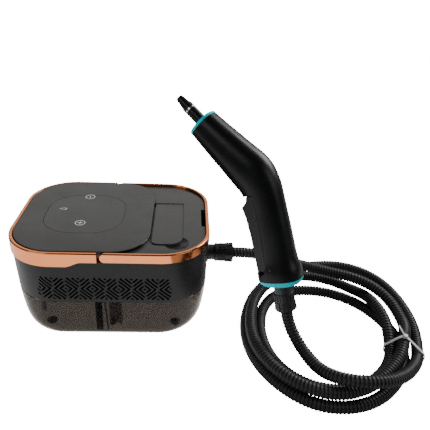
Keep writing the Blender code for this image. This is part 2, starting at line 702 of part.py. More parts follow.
def make_body(material):
    """The body's side wall, with lattice vents and holes for gland and inlet."""
    middle = (BODY_BOTTOM + BODY_TOP) / 2
    rings = [level(body_outline(z), z) for z in (BODY_BOTTOM, middle, BODY_TOP)]
    rings += [level(body_outline(z, BODY_WALL), z) for z in (BODY_TOP, middle, BODY_BOTTOM)]
    body = finish("body_shell", skin(rings, closed=True), material)
    holes = bmesh.new()
    wall_y = SEAM_DEPTH / 2 + (BODY_DEPTH - SEAM_DEPTH) / 4 - BODY_WALL / 2
    for side, count, middle_x in ((-1, LATTICE_FRONT_COUNT, LATTICE_FRONT_X),
                                  (1, LATTICE_BACK_COUNT, LATTICE_BACK_X)):
        for index in range(count + 1):
            x = middle_x + (index - (count - 1) / 2) * LATTICE_PITCH
            between = x - LATTICE_PITCH / 2
            above = LATTICE_Z + LATTICE_PITCH / 2
            below = LATTICE_Z - LATTICE_PITCH / 2
            append(holes, fret_slots(between, above, side * wall_y, upper=False))
            append(holes, fret_slots(between, below, side * wall_y, lower=False))
            if index < count:
                append(holes, fret_slots(x, LATTICE_Z, side * wall_y))
    hole = GLAND_STEM_RADIUS + FIT_GAP
    gland = turned(((hole, 0), (hole, BODY_WIDTH)))
    append(holes, moved(gland, along((0, 0, GLAND_Z), (1, 0, 0))))
    hole = INLET_RADIUS + FIT_GAP
    inlet = turned(((hole, 0), (hole, BODY_DEPTH)))
    append(holes, moved(inlet, along((INLET_X, 0, INLET_Z), (0, 1, 0))))
    cut(body, holes)


def rim_path():
    """The rim's outline from the front hinge gap round the left end to the back gap."""
    gap_x = HINGE_X - BAND_HEIGHT / 2 - RUN_GAP
    left = [(x, y) for x, y in rounded_outline(RIM_WIDTH, RIM_DEPTH, RIM_RADIUS) if x < 0]
    left.sort(key=lambda spot: math.atan2(spot[1], -spot[0] + RIM_WIDTH))
    marks = (LOBE_END, LOBE_END + LOBE_SLOPE, gap_x)
    front = [(x, -RIM_DEPTH / 2) for x in reversed(marks)]
    back = [(x, RIM_DEPTH / 2) for x in marks]
    return front, left, back


def band_section(spot, inward, bottom, lobe_bottom=None):
    """One section of the rim band: outer bottom, outer top, inner top, inner bottom."""
    def point(inset, z):
        return (spot[0] + inward[0] * inset, spot[1] + inward[1] * inset, z)
    section = [point(0, bottom if lobe_bottom is None else lobe_bottom),
               point(0, RIM_TOP - RIM_BEVEL), point(RIM_BEVEL, RIM_TOP),
               point(RIM_THICKNESS - RIM_BEVEL, RIM_TOP),
               point(RIM_THICKNESS, RIM_TOP - RIM_BEVEL), point(RIM_THICKNESS, bottom)]
    if lobe_bottom is not None:
        section += [point(SKIN, bottom), point(SKIN, lobe_bottom)]
    return section


def inward_at(spot):
    """The plan direction from a point of the rim outline to its inside."""
    straight_x = RIM_WIDTH / 2 - RIM_RADIUS
    straight_y = RIM_DEPTH / 2 - RIM_RADIUS
    centre_x = max(-straight_x, min(straight_x, spot[0]))
    centre_y = max(-straight_y, min(straight_y, spot[1]))
    offset = Vector((centre_x - spot[0], centre_y - spot[1])).normalized()
    return (offset.x, offset.y)


def make_rim(material):
    """The fixed half of the rose gold rim, with its deeper lobe round the left end."""
    front, left, back = rim_path()
    sections = []
    for spot in front + left + back:
        fall = (LOBE_END + LOBE_SLOPE - spot[0]) / LOBE_SLOPE
        lobe = BAND_BOTTOM - FIT_GAP - LOBE_DROP * max(0.0, min(1.0, fall))
        sections.append(band_section(spot, inward_at(spot), BAND_BOTTOM, lobe))
    finish("rim_trim", skin(sections), material)


def make_handle(material, dark):
    """The rose gold carry handle: the rim's right half, hinged across the base."""
    right = [spot for spot in rounded_outline(RIM_WIDTH, RIM_DEPTH, RIM_RADIUS) if spot[0] > 0]
    right.sort(key=lambda spot: math.atan2(spot[1], spot[0] + RIM_WIDTH))
    half = BAND_HEIGHT / 2
    sections = []
    for side in (-1, 1):
        rows = []
        for angle in HANDLE_END_ANGLES:
            x = HINGE_X - half * math.sin(angle)
            tall = half * math.cos(angle)
            rows.append(handle_section((x, side * RIM_DEPTH / 2), (0, -side), tall))
        if side < 0:
            sections += rows
            sections += [handle_section(spot, inward_at(spot), half) for spot in right]
        else:
            sections += reversed(rows)
    axis = (HINGE_X, 0, PIVOT_Z)
    shape = moved(skin(sections), Matrix.Translation((-axis[0], -axis[1], -axis[2])))
    handle = finish("carry_handle", shape, material, location=axis)
    radius = PIVOT_RADIUS + FIT_GAP
    for side in (-1, 1):
        start = side * (RIM_DEPTH / 2 - RIM_THICKNESS / 2)
        end = side * (RIM_DEPTH / 2 - RIM_THICKNESS - OVERRUN)
        hole = turned(((radius, 0), (radius, abs(end - start))), SMALL_STEPS)
        cut(handle, moved(hole, along((0, start, 0), (0, -side, 0))))
        name = "handle_pivot_" + ("front" if side < 0 else "rear")
        reach = RIM_THICKNESS / 2 - FIT_GAP + PIVOT_REACH
        pin = turned(((PIVOT_RADIUS, 0), (PIVOT_RADIUS, reach)), SMALL_STEPS)
        spot = (HINGE_X, start - side * FIT_GAP, PIVOT_Z)
        finish(name, moved(pin, along(spot, (0, -side, 0))), dark)


def handle_section(spot, inward, half):
    """One section of the carry handle, of the given half height about its pivot."""
    bevel = min(RIM_BEVEL, half / 2)

    def point(inset, z):
        return (spot[0] + inward[0] * inset, spot[1] + inward[1] * inset, PIVOT_Z + z)
    return [point(0, -half + bevel), point(0, half - bevel), point(bevel, half),
            point(RIM_THICKNESS - bevel, half), point(RIM_THICKNESS, half - bevel),
            point(RIM_THICKNESS, -half + bevel), point(RIM_THICKNESS - bevel, -half),
            point(bevel, -half)]


def make_cover(material):
    """The lower deck inside the rim, with the flap's pocket, the dish and the notch."""
    top = rounded_outline(COVER_WIDTH, COVER_DEPTH, COVER_RADIUS)
    skirt_z = COVER_BOTTOM - SKIRT_DROP
    outer = body_outline(skirt_z, BODY_WALL + FIT_GAP)
    inner = body_outline(skirt_z, BODY_WALL + FIT_GAP + SKIRT_WALL)
    inner_top = rounded_outline(COVER_WIDTH - 2 * SKIRT_WALL, COVER_DEPTH - 2 * SKIRT_WALL,
                                COVER_RADIUS - SKIRT_WALL)
    shoulder = body_outline(BODY_TOP, BODY_WALL + FIT_GAP)
    rings = [level(top, COVER_TOP), level(top, BODY_TOP + FIT_GAP), level(shoulder, BODY_TOP),
             level(outer, skirt_z), level(inner, skirt_z), level(inner_top, COVER_BOTTOM)]
    cover = finish("top_cover", skin(rings), material)
    holes = bmesh.new()
    append(holes, prism(pocket_outline(), FLAP_SEAT, COVER_TOP + OVERRUN))
    cut(cover, holes)
    notch_x = COVER_WIDTH / 2 - NOTCH_WIDTH / 2
    notch = box((NOTCH_WIDTH + 2 * OVERRUN, NOTCH_LENGTH, SKIRT_DROP),
                (notch_x + OVERRUN, 0, COVER_TOP - SKIRT_DROP / 2 + OVERRUN))
    cut(cover, notch)
    radius = NECK_BORE_RADIUS + NECK_WALL + FIT_GAP
    well = turned(((radius, COVER_BOTTOM - OVERRUN), (radius, COVER_TOP)))
    cut(cover, moved(well, Matrix.Translation((NECK_X, NECK_Y, 0))))
    cut(cover, dish_shape())
    cut(cover, flap_pin_shape(FLAP_PIN_RADIUS + FIT_GAP, FLAP_PIN_SIDE + FIT_GAP))
    reach = PIVOT_REACH + FIT_GAP
    for side in (-1, 1):
        hole = turned(((PIVOT_RADIUS + FIT_GAP, -OVERRUN), (PIVOT_RADIUS + FIT_GAP, reach)),
                      SMALL_STEPS)
        spot = (HINGE_X, side * COVER_DEPTH / 2, PIVOT_Z)
        cut(cover, moved(hole, along(spot, (0, -side, 0))))


def dish_shape():
    """The shallow bowl that lets a finger under the flap's corner."""
    radius = (DISH_RADIUS ** 2 + DISH_DEPTH ** 2) / (2 * DISH_DEPTH)
    shape = bmesh.new()
    bmesh.ops.create_uvsphere(shape, u_segments=DISH_STEPS, v_segments=DISH_STEPS,
                              radius=radius)
    low = [vert for vert in shape.verts if vert.co.z > -radius + DISH_DEPTH + OVERRUN]
    bmesh.ops.delete(shape, geom=low, context="VERTS")
    bmesh.ops.holes_fill(shape, edges=shape.edges)
    spot = (FLAP_LEFT + FLAP_WIDTH * DISH_X_SHARE, DISH_Y, COVER_TOP + radius - DISH_DEPTH)
    return moved(shape, Matrix.Translation(spot))


def flap_pin_shape(radius, side):
    """The flap's hinge pin, longer than the flap by a side length at both ends."""
    length = FLAP_WIDTH + 2 * (RUN_GAP + side)
    pin = turned(((radius, 0), (radius, length)), SMALL_STEPS)
    start = (FLAP_MIDDLE_X - length / 2, FLAP_AXIS_Y, FLAP_AXIS_Z)
    return moved(pin, along(start, (1, 0, 0)))


def make_deck(material):
    """The raised deck over the left of the cover, with the control panel's opening."""
    low = COVER_TOP + FIT_GAP
    outline = [spot for spot in rounded_outline(COVER_WIDTH, COVER_DEPTH, COVER_RADIUS)
               if spot[0] < 0]
    edge = []
    radius = DECK_EDGE_RADIUS
    for side in (-1, 1):
        for step in range(ARC_STEPS + 1):
            turn = math.pi / 2 * step / ARC_STEPS
            turn = -math.pi / 2 + turn if side < 0 else turn
            x = DECK_EDGE_X - radius + radius * math.cos(turn)
            y = side * (COVER_DEPTH / 2 - radius) + radius * math.sin(turn)
            edge.append((x, y))
    left = sorted(outline, key=lambda spot: math.atan2(spot[1], -spot[0]), reverse=True)
    deck = finish("raised_deck", prism(edge + left, low, DECK_TOP), material)
    opening = rounded_outline(PANEL_WIDTH, PANEL_DEPTH, PANEL_RADIUS, (PANEL_X, 0))
    cut(deck, prism(opening, low - OVERRUN, DECK_TOP + OVERRUN))


def make_panel(material, green):
    """The touch panel flush in the deck, and the key board below the cover."""
    outline = rounded_outline(PANEL_WIDTH - 2 * RUN_GAP, PANEL_DEPTH - 2 * RUN_GAP,
                              PANEL_RADIUS - RUN_GAP, (PANEL_X, 0))
    low = COVER_TOP + FIT_GAP
    finish("control_panel", prism(outline, low, DECK_TOP), material)
    middle = (PANEL_X, 0, COVER_BOTTOM - FIT_GAP - BOARD_THICKNESS / 2)
    finish("touch_board", box((BOARD_WIDTH, BOARD_DEPTH, BOARD_THICKNESS), middle), green)


def pocket_outline():
    """The flap's pocket in plan: round front corners and a square hinge end."""
    points = rounded_outline(FLAP_WIDTH + 2 * RUN_GAP, FLAP_LENGTH + 2 * RUN_GAP,
                             FLAP_RADIUS + RUN_GAP, (FLAP_MIDDLE_X, FLAP_MIDDLE_Y))
    half = FLAP_WIDTH / 2 + RUN_GAP
    back = FLAP_BACK_Y + RUN_GAP
    front = [(x, y) for x, y in points if y < FLAP_MIDDLE_Y]
    return front + [(FLAP_MIDDLE_X + half, back), (FLAP_MIDDLE_X - half, back)]


def make_flap(material, steel):
    """The filler flap on its hinge barrel, and the pin that it turns on."""
    rise = COVER_TOP + FLAP_RISE - FLAP_AXIS_Z
    base = -FLAP_BARREL_RADIUS
    barrel = FLAP_BARREL_RADIUS
    front = -FLAP_LENGTH + barrel
    half = FLAP_WIDTH / 2
    profile = [(front, base), (front, rise), (-FLAP_LEAF, rise), (0, barrel)]
    for step in range(1, FLAP_BARREL_STEPS):
        turn = math.pi / 2 - math.pi * step / FLAP_BARREL_STEPS
        profile.append((barrel * math.cos(turn), barrel * math.sin(turn)))
    profile.append((0, base))
    shape = skin([[(x, y, z) for y, z in profile] for x in (-half, half)])
    axis = (FLAP_MIDDLE_X, FLAP_AXIS_Y, FLAP_AXIS_Z)
    flap = finish("filler_flap", shape, material, location=axis)
    radius = FLAP_PIN_RADIUS + FIT_GAP
    bore = turned(((radius, -half - OVERRUN), (radius, half + OVERRUN)), SMALL_STEPS)
    cut(flap, moved(bore, along((0, 0, 0), (1, 0, 0))))
    for side in (-1, 1):
        cut(flap, corner_cutter(side * half, front, FLAP_RADIUS, rise))
    finish("flap_hinge_pin", flap_pin_shape(FLAP_PIN_RADIUS, FLAP_PIN_SIDE), steel)


def corner_cutter(x, y, radius, rise):
    """A block that rounds one front corner of the flap."""
    inward = -1 if x > 0 else 1
    points = [(x - inward * OVERRUN, y - OVERRUN), (x + inward * radius, y - OVERRUN)]
    for step in range(ARC_STEPS + 1):
        turn = math.pi / 2 * step / ARC_STEPS
        points.append((x + inward * radius * (1 - math.sin(turn)),
                       y + radius * (1 - math.cos(turn))))
    points.append((x - inward * OVERRUN, y + radius))
    return prism(points, -rise * 2, rise * 2)


def make_neck(material, rubber):
    """The filler neck from the cover down into the tank, and its seal."""
    bore = NECK_BORE_RADIUS
    outer = bore + NECK_WALL
    flange = outer + NECK_FLANGE
    top = COVER_BOTTOM - FIT_GAP
    under = top - NECK_FLANGE_HEIGHT
    low = CHASSIS_BOTTOM - NECK_REACH
    profile = ((bore, low), (outer, low), (outer, under), (flange, under), (flange, top),
               (bore, top))
    spot = Matrix.Translation((NECK_X, NECK_Y, 0))
    finish("filler_neck", moved(turned(profile, closed=True), spot), material)
    profile = ((bore, COVER_BOTTOM), (outer, COVER_BOTTOM), (outer, FLAP_SEAT), (bore, FLAP_SEAT))
    finish("filler_seal", moved(turned(profile, closed=True), spot), rubber)


def make_boiler(metal, dark, steel):
    """The boiler in its cradle, with its thermostat."""
    z = CHASSIS_TOP + BOILER_RISE + BOILER_RADIUS
    start = (BOILER_X - BOILER_LENGTH / 2, BOILER_Y, z)
    end_radius = BOILER_RADIUS * BOILER_END_SHARE
    taper = BOILER_RADIUS - end_radius
    profile = ((end_radius, 0), (BOILER_RADIUS, taper), (BOILER_RADIUS, BOILER_LENGTH - taper),
               (end_radius, BOILER_LENGTH))
    finish("boiler", moved(turned(profile), along(start, (1, 0, 0))), metal)
    low = CHASSIS_TOP + FIT_GAP
    block = box((CRADLE_LENGTH, CRADLE_WIDTH, z - low), (BOILER_X, BOILER_Y, (z + low) / 2))
    cradle = finish("boiler_cradle", block, dark)
    bed = BOILER_RADIUS + FIT_GAP
    bed_shape = turned(((bed, 0), (bed, BOILER_LENGTH)), ROUND_STEPS)
    cut(cradle, moved(bed_shape, along(start, (1, 0, 0))))
    profile = ((THERMOSTAT_RADIUS, 0), (THERMOSTAT_RADIUS, THERMOSTAT_HEIGHT))
    spot = (BOILER_X, BOILER_Y, z + BOILER_RADIUS + FIT_GAP)
    finish("thermostat", moved(turned(profile, SMALL_STEPS), Matrix.Translation(spot)), steel)


def make_pump(metal, rubber):
    """The pump on its rubber mount."""
    z = CHASSIS_TOP + PUMP_RISE + PUMP_RADIUS
    start = (PUMP_X - PUMP_LENGTH / 2 - PUMP_NECK_LENGTH, PUMP_Y, z)
    neck = PUMP_NECK_LENGTH
    far = neck + PUMP_LENGTH
    profile = ((PUMP_NECK_RADIUS, 0), (PUMP_NECK_RADIUS, neck), (PUMP_RADIUS, neck),
               (PUMP_RADIUS, far), (PUMP_NECK_RADIUS, far), (PUMP_NECK_RADIUS, far + neck))
    finish("pump", moved(turned(profile), along(start, (1, 0, 0))), metal)
    low = CHASSIS_TOP + FIT_GAP
    block = box((PUMP_LENGTH / 2, PUMP_RADIUS * 2, z - low), (PUMP_X, PUMP_Y, (z + low) / 2))
    mount = finish("pump_mount", block, rubber)
    bed = PUMP_RADIUS + FIT_GAP
    bed_shape = turned(((bed, 0), (bed, PUMP_LENGTH * 2)), ROUND_STEPS)
    cut(mount, moved(bed_shape, along(start, (1, 0, 0))))


def make_pipes(material):
    """Suction tube, feed pipe and steam outlet pipe."""
    pump_z = CHASSIS_TOP + PUMP_RISE + PUMP_RADIUS
    boiler_z = CHASSIS_TOP + BOILER_RISE + BOILER_RADIUS
    left = PUMP_X - PUMP_LENGTH / 2 - PUMP_NECK_LENGTH - FIT_GAP
    x, y = suction_place()
    route = ((left, y, pump_z), (left - PIPE_RADIUS * 2, y, pump_z), (x, y, pump_z),
             (x, y, pump_z - PIPE_BEND), (x, y, CHASSIS_TOP), (x, y, TANK_FLOOR + PIPE_BEND / 2))
    points = even_points(smooth_curve(route, PIPE_SAMPLES), SUCTION_POINTS)
    tube("suction_tube", points, PIPE_RADIUS, material)
    right = PUMP_X + PUMP_LENGTH / 2 + PUMP_NECK_LENGTH + FIT_GAP
    boiler_end = BOILER_X + BOILER_LENGTH / 2 + FIT_GAP
    route = ((right, PUMP_Y, pump_z), (right + PIPE_RADIUS * 2, PUMP_Y, pump_z),
             (right + PIPE_BEND * PIPE_RUN_SHARE, PUMP_Y, pump_z),
             (right + PIPE_BEND * PIPE_RUN_SHARE, (PUMP_Y + BOILER_Y) / 2, boiler_z - PIPE_RADIUS * 2),
             (right + PIPE_BEND * PIPE_RUN_SHARE, BOILER_Y, boiler_z - PIPE_BEND / 2),
             (boiler_end + PIPE_RADIUS * 2, BOILER_Y, boiler_z - PIPE_BEND / 2),
             (boiler_end, BOILER_Y, boiler_z - PIPE_BEND / 2))
    points = even_points(smooth_curve(route, PIPE_SAMPLES), FEED_POINTS)
    tube("feed_pipe", points, PIPE_RADIUS, material)
    gland_end = gland_inner_x() - FIT_GAP
    route = ((boiler_end, BOILER_Y, boiler_z + PIPE_BEND / 2),
             (boiler_end + PIPE_RADIUS * 2, BOILER_Y, boiler_z + PIPE_BEND / 2),
             (boiler_end + PIPE_BEND * 2, BOILER_Y, boiler_z + PIPE_BEND / 2),
             (gland_end - PIPE_BEND * 2, BOILER_Y, GLAND_Z + PIPE_RADIUS),
             (gland_end - PIPE_BEND, 0, GLAND_Z), (gland_end - PIPE_RADIUS * 2, 0, GLAND_Z),
             (gland_end, 0, GLAND_Z))
    points = even_points(smooth_curve(route, PIPE_SAMPLES), STEAM_POINTS)
    tube("steam_pipe", points, PIPE_RADIUS, material)


def make_valve(metal):
    """The relief valve on the boiler's left end."""
    z = CHASSIS_TOP + BOILER_RISE + BOILER_RADIUS
    start = (BOILER_X - BOILER_LENGTH / 2 - FIT_GAP, BOILER_Y, z)
    waist = VALVE_RADIUS / 2
    profile = ((waist, 0), (waist, VALVE_HEIGHT / 3), (VALVE_RADIUS, VALVE_HEIGHT / 3),
               (VALVE_RADIUS, VALVE_HEIGHT))
    finish("relief_valve", moved(turned(profile, SMALL_STEPS), along(start, (-1, 0, 0))), metal)


def make_supply(green):
    """The supply board on its low plinth."""
    low = CHASSIS_TOP + FIT_GAP
    size = (SUPPLY_LENGTH, SUPPLY_DEPTH, SUPPLY_RISE)
    middle = (SUPPLY_X, SUPPLY_Y, low + SUPPLY_RISE / 2)
    finish("supply_board", box(size, middle), green)


def make_inlet(material):
    """The mains lead's bush in the back wall."""
    wall = Vector(body_outline(INLET_Z)[ARC_STEPS + 1]).y
    inner = wall - BODY_WALL
    seat = BODY_WALL + INLET_STANDOFF
    end = seat + INLET_FLANGE
    profile = ((INLET_BORE_RADIUS, -BODY_WALL), (INLET_RADIUS, -BODY_WALL), (INLET_RADIUS, seat),
               (INLET_FLANGE_RADIUS, seat), (INLET_FLANGE_RADIUS * INLET_EDGE_SHARE, end),
               (INLET_BORE_RADIUS, end))
    shape = turned(profile, ROUND_STEPS, closed=True)
    finish("mains_inlet", moved(shape, along((INLET_X, inner, INLET_Z), (0, 1, 0))), material)


def gland_wall_x():
    """The outer face of the body's right wall at the gland."""
    return max(x for x, _ in body_outline(GLAND_Z))


def gland_inner_x():
    """Where the gland's stem ends inside the body."""
    return gland_wall_x() - BODY_WALL * 2


def hose_mouth_x():
    """Where the hose starts: past the gland's body and its nut."""
    body_end = gland_wall_x() + FIT_GAP + GLAND_FLANGE + GLAND_BODY_LENGTH / 2
    return body_end + FIT_GAP + GLAND_NUT_LENGTH + FIT_GAP


def gland_body_profile(stem):
    """Sections of a hose gland's fixed body, from its stem to its collar."""
    radius = GLAND_STEM_RADIUS
    bore = HOSE_BORE_RADIUS
    return ((bore, -stem), (radius, -stem), (radius, 0), (GLAND_FLANGE_RADIUS, 0),
            (GLAND_FLANGE_RADIUS, GLAND_FLANGE), (radius, GLAND_FLANGE),
            (radius, GLAND_FLANGE + GLAND_BODY_LENGTH / 2),
            (bore, GLAND_FLANGE + GLAND_BODY_LENGTH / 2))


def claw_nut(length, bore):
    """A gland nut with raised claws round its end."""
    outer = GLAND_NUT_RADIUS
    profile = ((bore, 0), (outer, 0), (outer, length), (bore, length))
    shape = turned(profile, GLAND_CLAWS * 2, closed=True)
    bmesh.ops.recalc_face_normals(shape, faces=shape.faces)
    sides = []
    for face in shape.faces:
        centre = face.calc_center_median()
        on_side = abs(face.normal.z) < 0.5 and Vector(centre.xy).length > (outer + bore) / 2
        step = math.atan2(centre.y, centre.x) / (math.pi / GLAND_CLAWS)
        if on_side and math.floor(step) % 2 == 0:
            sides.append(face)
    grown = bmesh.ops.extrude_discrete_faces(shape, faces=sides)
    for face in grown["faces"]:
        normal = face.normal.copy()
        normal.z = 0
        bmesh.ops.translate(shape, vec=normal.normalized() * GLAND_CLAW_RISE, verts=face.verts)
    return shape


def make_gland(material):
    """The gland where the hose leaves the base."""
    start = (gland_wall_x() + FIT_GAP, 0, GLAND_Z)
    stem = BODY_WALL * 2 + FIT_GAP
    body = moved(turned(gland_body_profile(stem), closed=True), along(start, (1, 0, 0)))
    finish("base_gland_body", body, material)
    nut_start = hose_mouth_x() - FIT_GAP - GLAND_NUT_LENGTH
    nut = moved(claw_nut(GLAND_NUT_LENGTH, HOSE_BORE_RADIUS),
                along((nut_start, 0, GLAND_Z), (1, 0, 0)))
    finish("base_gland_nut", nut, material)


def hose_curve():
    """The hose's middle line: straight out of the base gland and along the route to the gun."""
    mouth = hose_mouth_x()
    lead = [(mouth, 0, GLAND_Z), (mouth + HOSE_RADIUS * 2, 0, GLAND_Z)]
    return smooth_curve(lead + list(HOSE_ROUTE) + [GUN_FOOT], HOSE_SAMPLES)


def hose_gap(points):
    """The least distance between the hose's surfaces, away from each place itself."""
    step = (points[1] - points[0]).length
    skip = int(HOSE_RADIUS * 6 / step) + 1
    least = min((points[first] - points[second]).length
                for first in range(len(points)) for second in range(first + skip, len(points)))
    return least - 2 * HOSE_RADIUS


def make_hose(material):
    """The ribbed hose from the base's gland to the gun's, with its bore."""
    curve = hose_curve()
    start = curve[0]
    end = curve[-1]
    points = even_points(curve, HOSE_RIBS * 2 + 1)
    factors = [1.0 if index % 2 == 0 else HOSE_VALLEY_SHARE for index in range(len(points))]
    mesh = tube_mesh("steam_hose", points, HOSE_RADIUS, factors)
    hose = place("steam_hose", mesh, material)
    inner = points[::HOSE_BORE_STRIDE]
    if inner[-1] != points[-1]:
        inner.append(points[-1])
    ahead = (inner[0] - inner[1]).normalized() * OVERRUN
    behind = (inner[-1] - inner[-2]).normalized() * OVERRUN
    inner = [start + ahead] + inner[1:-1] + [end + behind]
    bore = place("cutter_hose_bore", tube_mesh("hose_bore", inner, HOSE_BORE_RADIUS), material)
    bore.hide_render = True
    bore.display_type = "WIRE"
    boolean = hose.modifiers.new("bore", "BOOLEAN")
    boolean.operation = "DIFFERENCE"
    boolean.solver = "EXACT"
    boolean.object = bore
    length = sum((after - before).length for before, after in zip(curve, curve[1:]))
    print("hose length m", round(length, 4))
    print("hose least gap to itself m", round(hose_gap(points), 5))


def strand_places():
    """Where the hose's passes cross the cable tie's plane at the front of the coil."""
    points = even_points(hose_curve(), HOSE_RIBS * HOSE_SAMPLES)
    found = []
    for before, after in zip(points, points[1:]):
        if (before.y - TIE_Y) * (after.y - TIE_Y) < 0:
            found.append(before.lerp(after, (TIE_Y - before.y) / (after.y - before.y)))
    found.sort(key=lambda spot: -spot.x)
    return found[:TIE_STRANDS]


def hull(points):
    """The convex outline round points in a plane."""
    points = sorted(set(points))
    halves = []
    for run in (points, points[::-1]):
        chain = []
        for spot in run:
            while len(chain) > 1 and turn_of(chain[-2], chain[-1], spot) <= 0:
                chain.pop()
            chain.append(spot)
        halves.append(chain[:-1])
    return halves[0] + halves[1]


def turn_of(first, second, third):
    """Positive when three points in a plane turn left."""
    return ((second[0] - first[0]) * (third[1] - first[1])
            - (second[1] - first[1]) * (third[0] - first[0]))


def make_tie(material):
    """The cable tie round the coil's four passes, with its head on top."""
    cloud = []
    for spot in strand_places():
        for x, z, _ in circle(1, 0, ROUND_STEPS * 2):
            cloud.append((spot.x + x * (HOSE_RADIUS + TIE_SIDE_GAP),
                          spot.z + z * (HOSE_RADIUS + TIE_GAP)))
    inner = hull(cloud)
    outer = []
    for index, spot in enumerate(inner):
        run = Vector(inner[(index + 1) % len(inner)]) - Vector(inner[index - 1])
        out = Vector((run.y, -run.x)).normalized() * TIE_THICKNESS
        outer.append((spot[0] + out.x, spot[1] + out.y))
    half = TIE_WIDTH / 2
    rings = []
    for outline, side in ((inner, -1), (outer, -1), (outer, 1), (inner, 1)):
        rings.append([(x, TIE_Y + side * half, z) for x, z in outline])
    tie = finish("hose_tie", skin(rings, closed=True), material)
    top = max(outer, key=lambda spot: spot[1])
    height = TIE_HEAD * TIE_HEAD_SHARE
    spot = (top[0], TIE_Y, top[1] - TIE_THICKNESS * TIE_SUNK_SHARE + height / 2)
    head = finish("joined_tie_head", box((TIE_HEAD, TIE_HEAD, height), spot), material)
    head.hide_render = True
    head.display_type = "WIRE"
    union = tie.modifiers.new("head", "BOOLEAN")
    union.operation = "UNION"
    union.solver = "EXACT"
    union.object = head


def gun_point(shares, y=0.0):
    """A point of the gun's profile plane from shares of its size."""
    return (shares[0] * GUN_SIZE, y, shares[1] * GUN_SIZE)


def gun_section(station, inset=0.0, side=1):
    """Half of one section of the gun, from its front edge to its back edge."""
    x, z, angle, depth, width = station
    centre = Vector(gun_point((x, z)))
    turn = math.radians(angle)
    across = Vector((-math.sin(turn), 0, math.cos(turn)))
    half_depth = GRIP_DEPTH * depth / 2 - inset
    half_width = GRIP_WIDTH * width / 2 - inset
    points = []
    for step in range(SHELL_SIDE_STEPS + 1):
        part = math.pi * step / SHELL_SIDE_STEPS
        cosine = math.cos(part)
        sine = math.sin(part)
        out = abs(sine) ** (2 / SHELL_ROUND) * half_width
        deep = math.copysign(abs(cosine) ** (2 / SHELL_ROUND), cosine) * half_depth
        spot = centre - across * deep
        points.append((spot.x, side * max(out, FIT_GAP / 2), spot.z))
    return points


def slot_cutter():
    """The trigger's slot through both shells."""
    pivot = Vector(gun_point(TRIGGER_PIVOT_SHARES))
    outline = [Vector(gun_point(shares)) for shares in SLOT_EDGE_SHARES]
    reach = TRIGGER_REACH_SHARE * GUN_SIZE + TRIGGER_TOP_GAP
    outline += [pivot + spot for spot in pivot_arc(reach, SLOT_TOP_ANGLES)]
    half = GRIP_WIDTH
    return skin([[(spot.x, side * half, spot.z) for spot in outline] for side in (-1, 1)])


def pivot_arc(reach, angles):
    """Points on an arc about the trigger's pivot, between two angles."""
    points = []
    for step in range(ARC_STEPS + 1):
        turn = angles[0] + (angles[1] - angles[0]) * step / ARC_STEPS
        points.append(Vector((reach * math.cos(turn), 0, reach * math.sin(turn))))
    return points


def make_gun_shells(material, gun):
    """The two halves of the gun's shell, split on its profile plane."""
    for name, side in (("left", 1), ("right", -1)):
        rings = []
        for station in GUN_STATION_SHARES:
            outer = gun_section(station, 0.0, side)
            inner = gun_section(station, SHELL_WALL, side)
            rings.append(outer + inner[::-1])
        shell = finish("gun_shell_" + name, skin(rings), material, gun)
        cut(shell, slot_cutter())
        radius = TRIGGER_PIN_RADIUS + FIT_GAP
        reach = GRIP_WIDTH
        hole = turned(((radius, -reach), (radius, reach)), SMALL_STEPS)
        cut(shell, moved(hole, along(gun_point(TRIGGER_PIVOT_SHARES), (0, 1, 0))))
        if side < 0:
            holes = bmesh.new()
            for shares in GUN_SCREW_SHARES:
                radius = SCREW_RADIUS + FIT_GAP
                hole = turned(((radius, 0), (radius, GRIP_WIDTH)), SMALL_STEPS)
                append(holes, moved(hole, along(gun_point(shares), (0, -1, 0))))
            cut(shell, holes)


def full_section(station, inset=0.0, share=1.0):
    """A whole section of the gun as one ring."""
    x, z, angle, depth, width = station
    wide = (x, z, angle, depth * share, width * share)
    near = gun_section(wide, inset, 1)
    far = gun_section(wide, inset, -1)
    return near[1:-1] + [(near[-1][0], 0, near[-1][2])] + far[-2:0:-1] + \
        [(near[0][0], 0, near[0][2])]


def shifted(station, distance):
    """A station moved along its own axis, by a length."""
    x, z, angle, depth, width = station
    turn = math.radians(angle)
    step = distance / GUN_SIZE
    return (x + math.cos(turn) * step, z + math.sin(turn) * step, angle, depth, width)


def make_gun_ends(teal, gun):
    """The teal end cap and the teal front ring."""
    first = GUN_STATION_SHARES[0]
    seam = shifted(first, -FIT_GAP)
    low = shifted(first, -CAP_HEIGHT)
    mid = shifted(first, -CAP_HEIGHT * CAP_MIDDLE_SHARE)
    rings = [full_section(seam), full_section(mid, share=CAP_BULGE_SHARE),
             full_section(low, share=CAP_END_SHARE)]
    cap = finish("gun_end_cap", skin(rings), teal, gun)
    hole = turned(((GLAND_STEM_RADIUS + FIT_GAP, 0),
                   (GLAND_STEM_RADIUS + FIT_GAP, GUN_SIZE / 4)), ROUND_STEPS)
    cut(cap, moved(hole, along((0, 0, 0), end_direction())))
    last = GUN_STATION_SHARES[-1]
    near = shifted(last, FIT_GAP)
    far = shifted(last, RING_LENGTH)
    bore = TUBE_RADIUS + FIT_GAP
    ring = finish("gun_front_ring", skin([full_section(near), full_section(far)]), teal, gun)
    hole = turned(((bore, -RING_LENGTH * 2), (bore, RING_LENGTH * 3)), ROUND_STEPS)
    cut(ring, moved(hole, along(gun_point(last[:2]), nozzle_direction())))


def end_direction():
    """The way up the handle from the hose's end."""
    return Vector((math.cos(END_ANGLE), 0, math.sin(END_ANGLE)))


def nozzle_direction():
    """The way out along the nozzle."""
    return Vector((math.cos(NOZZLE_ANGLE), 0, math.sin(NOZZLE_ANGLE)))


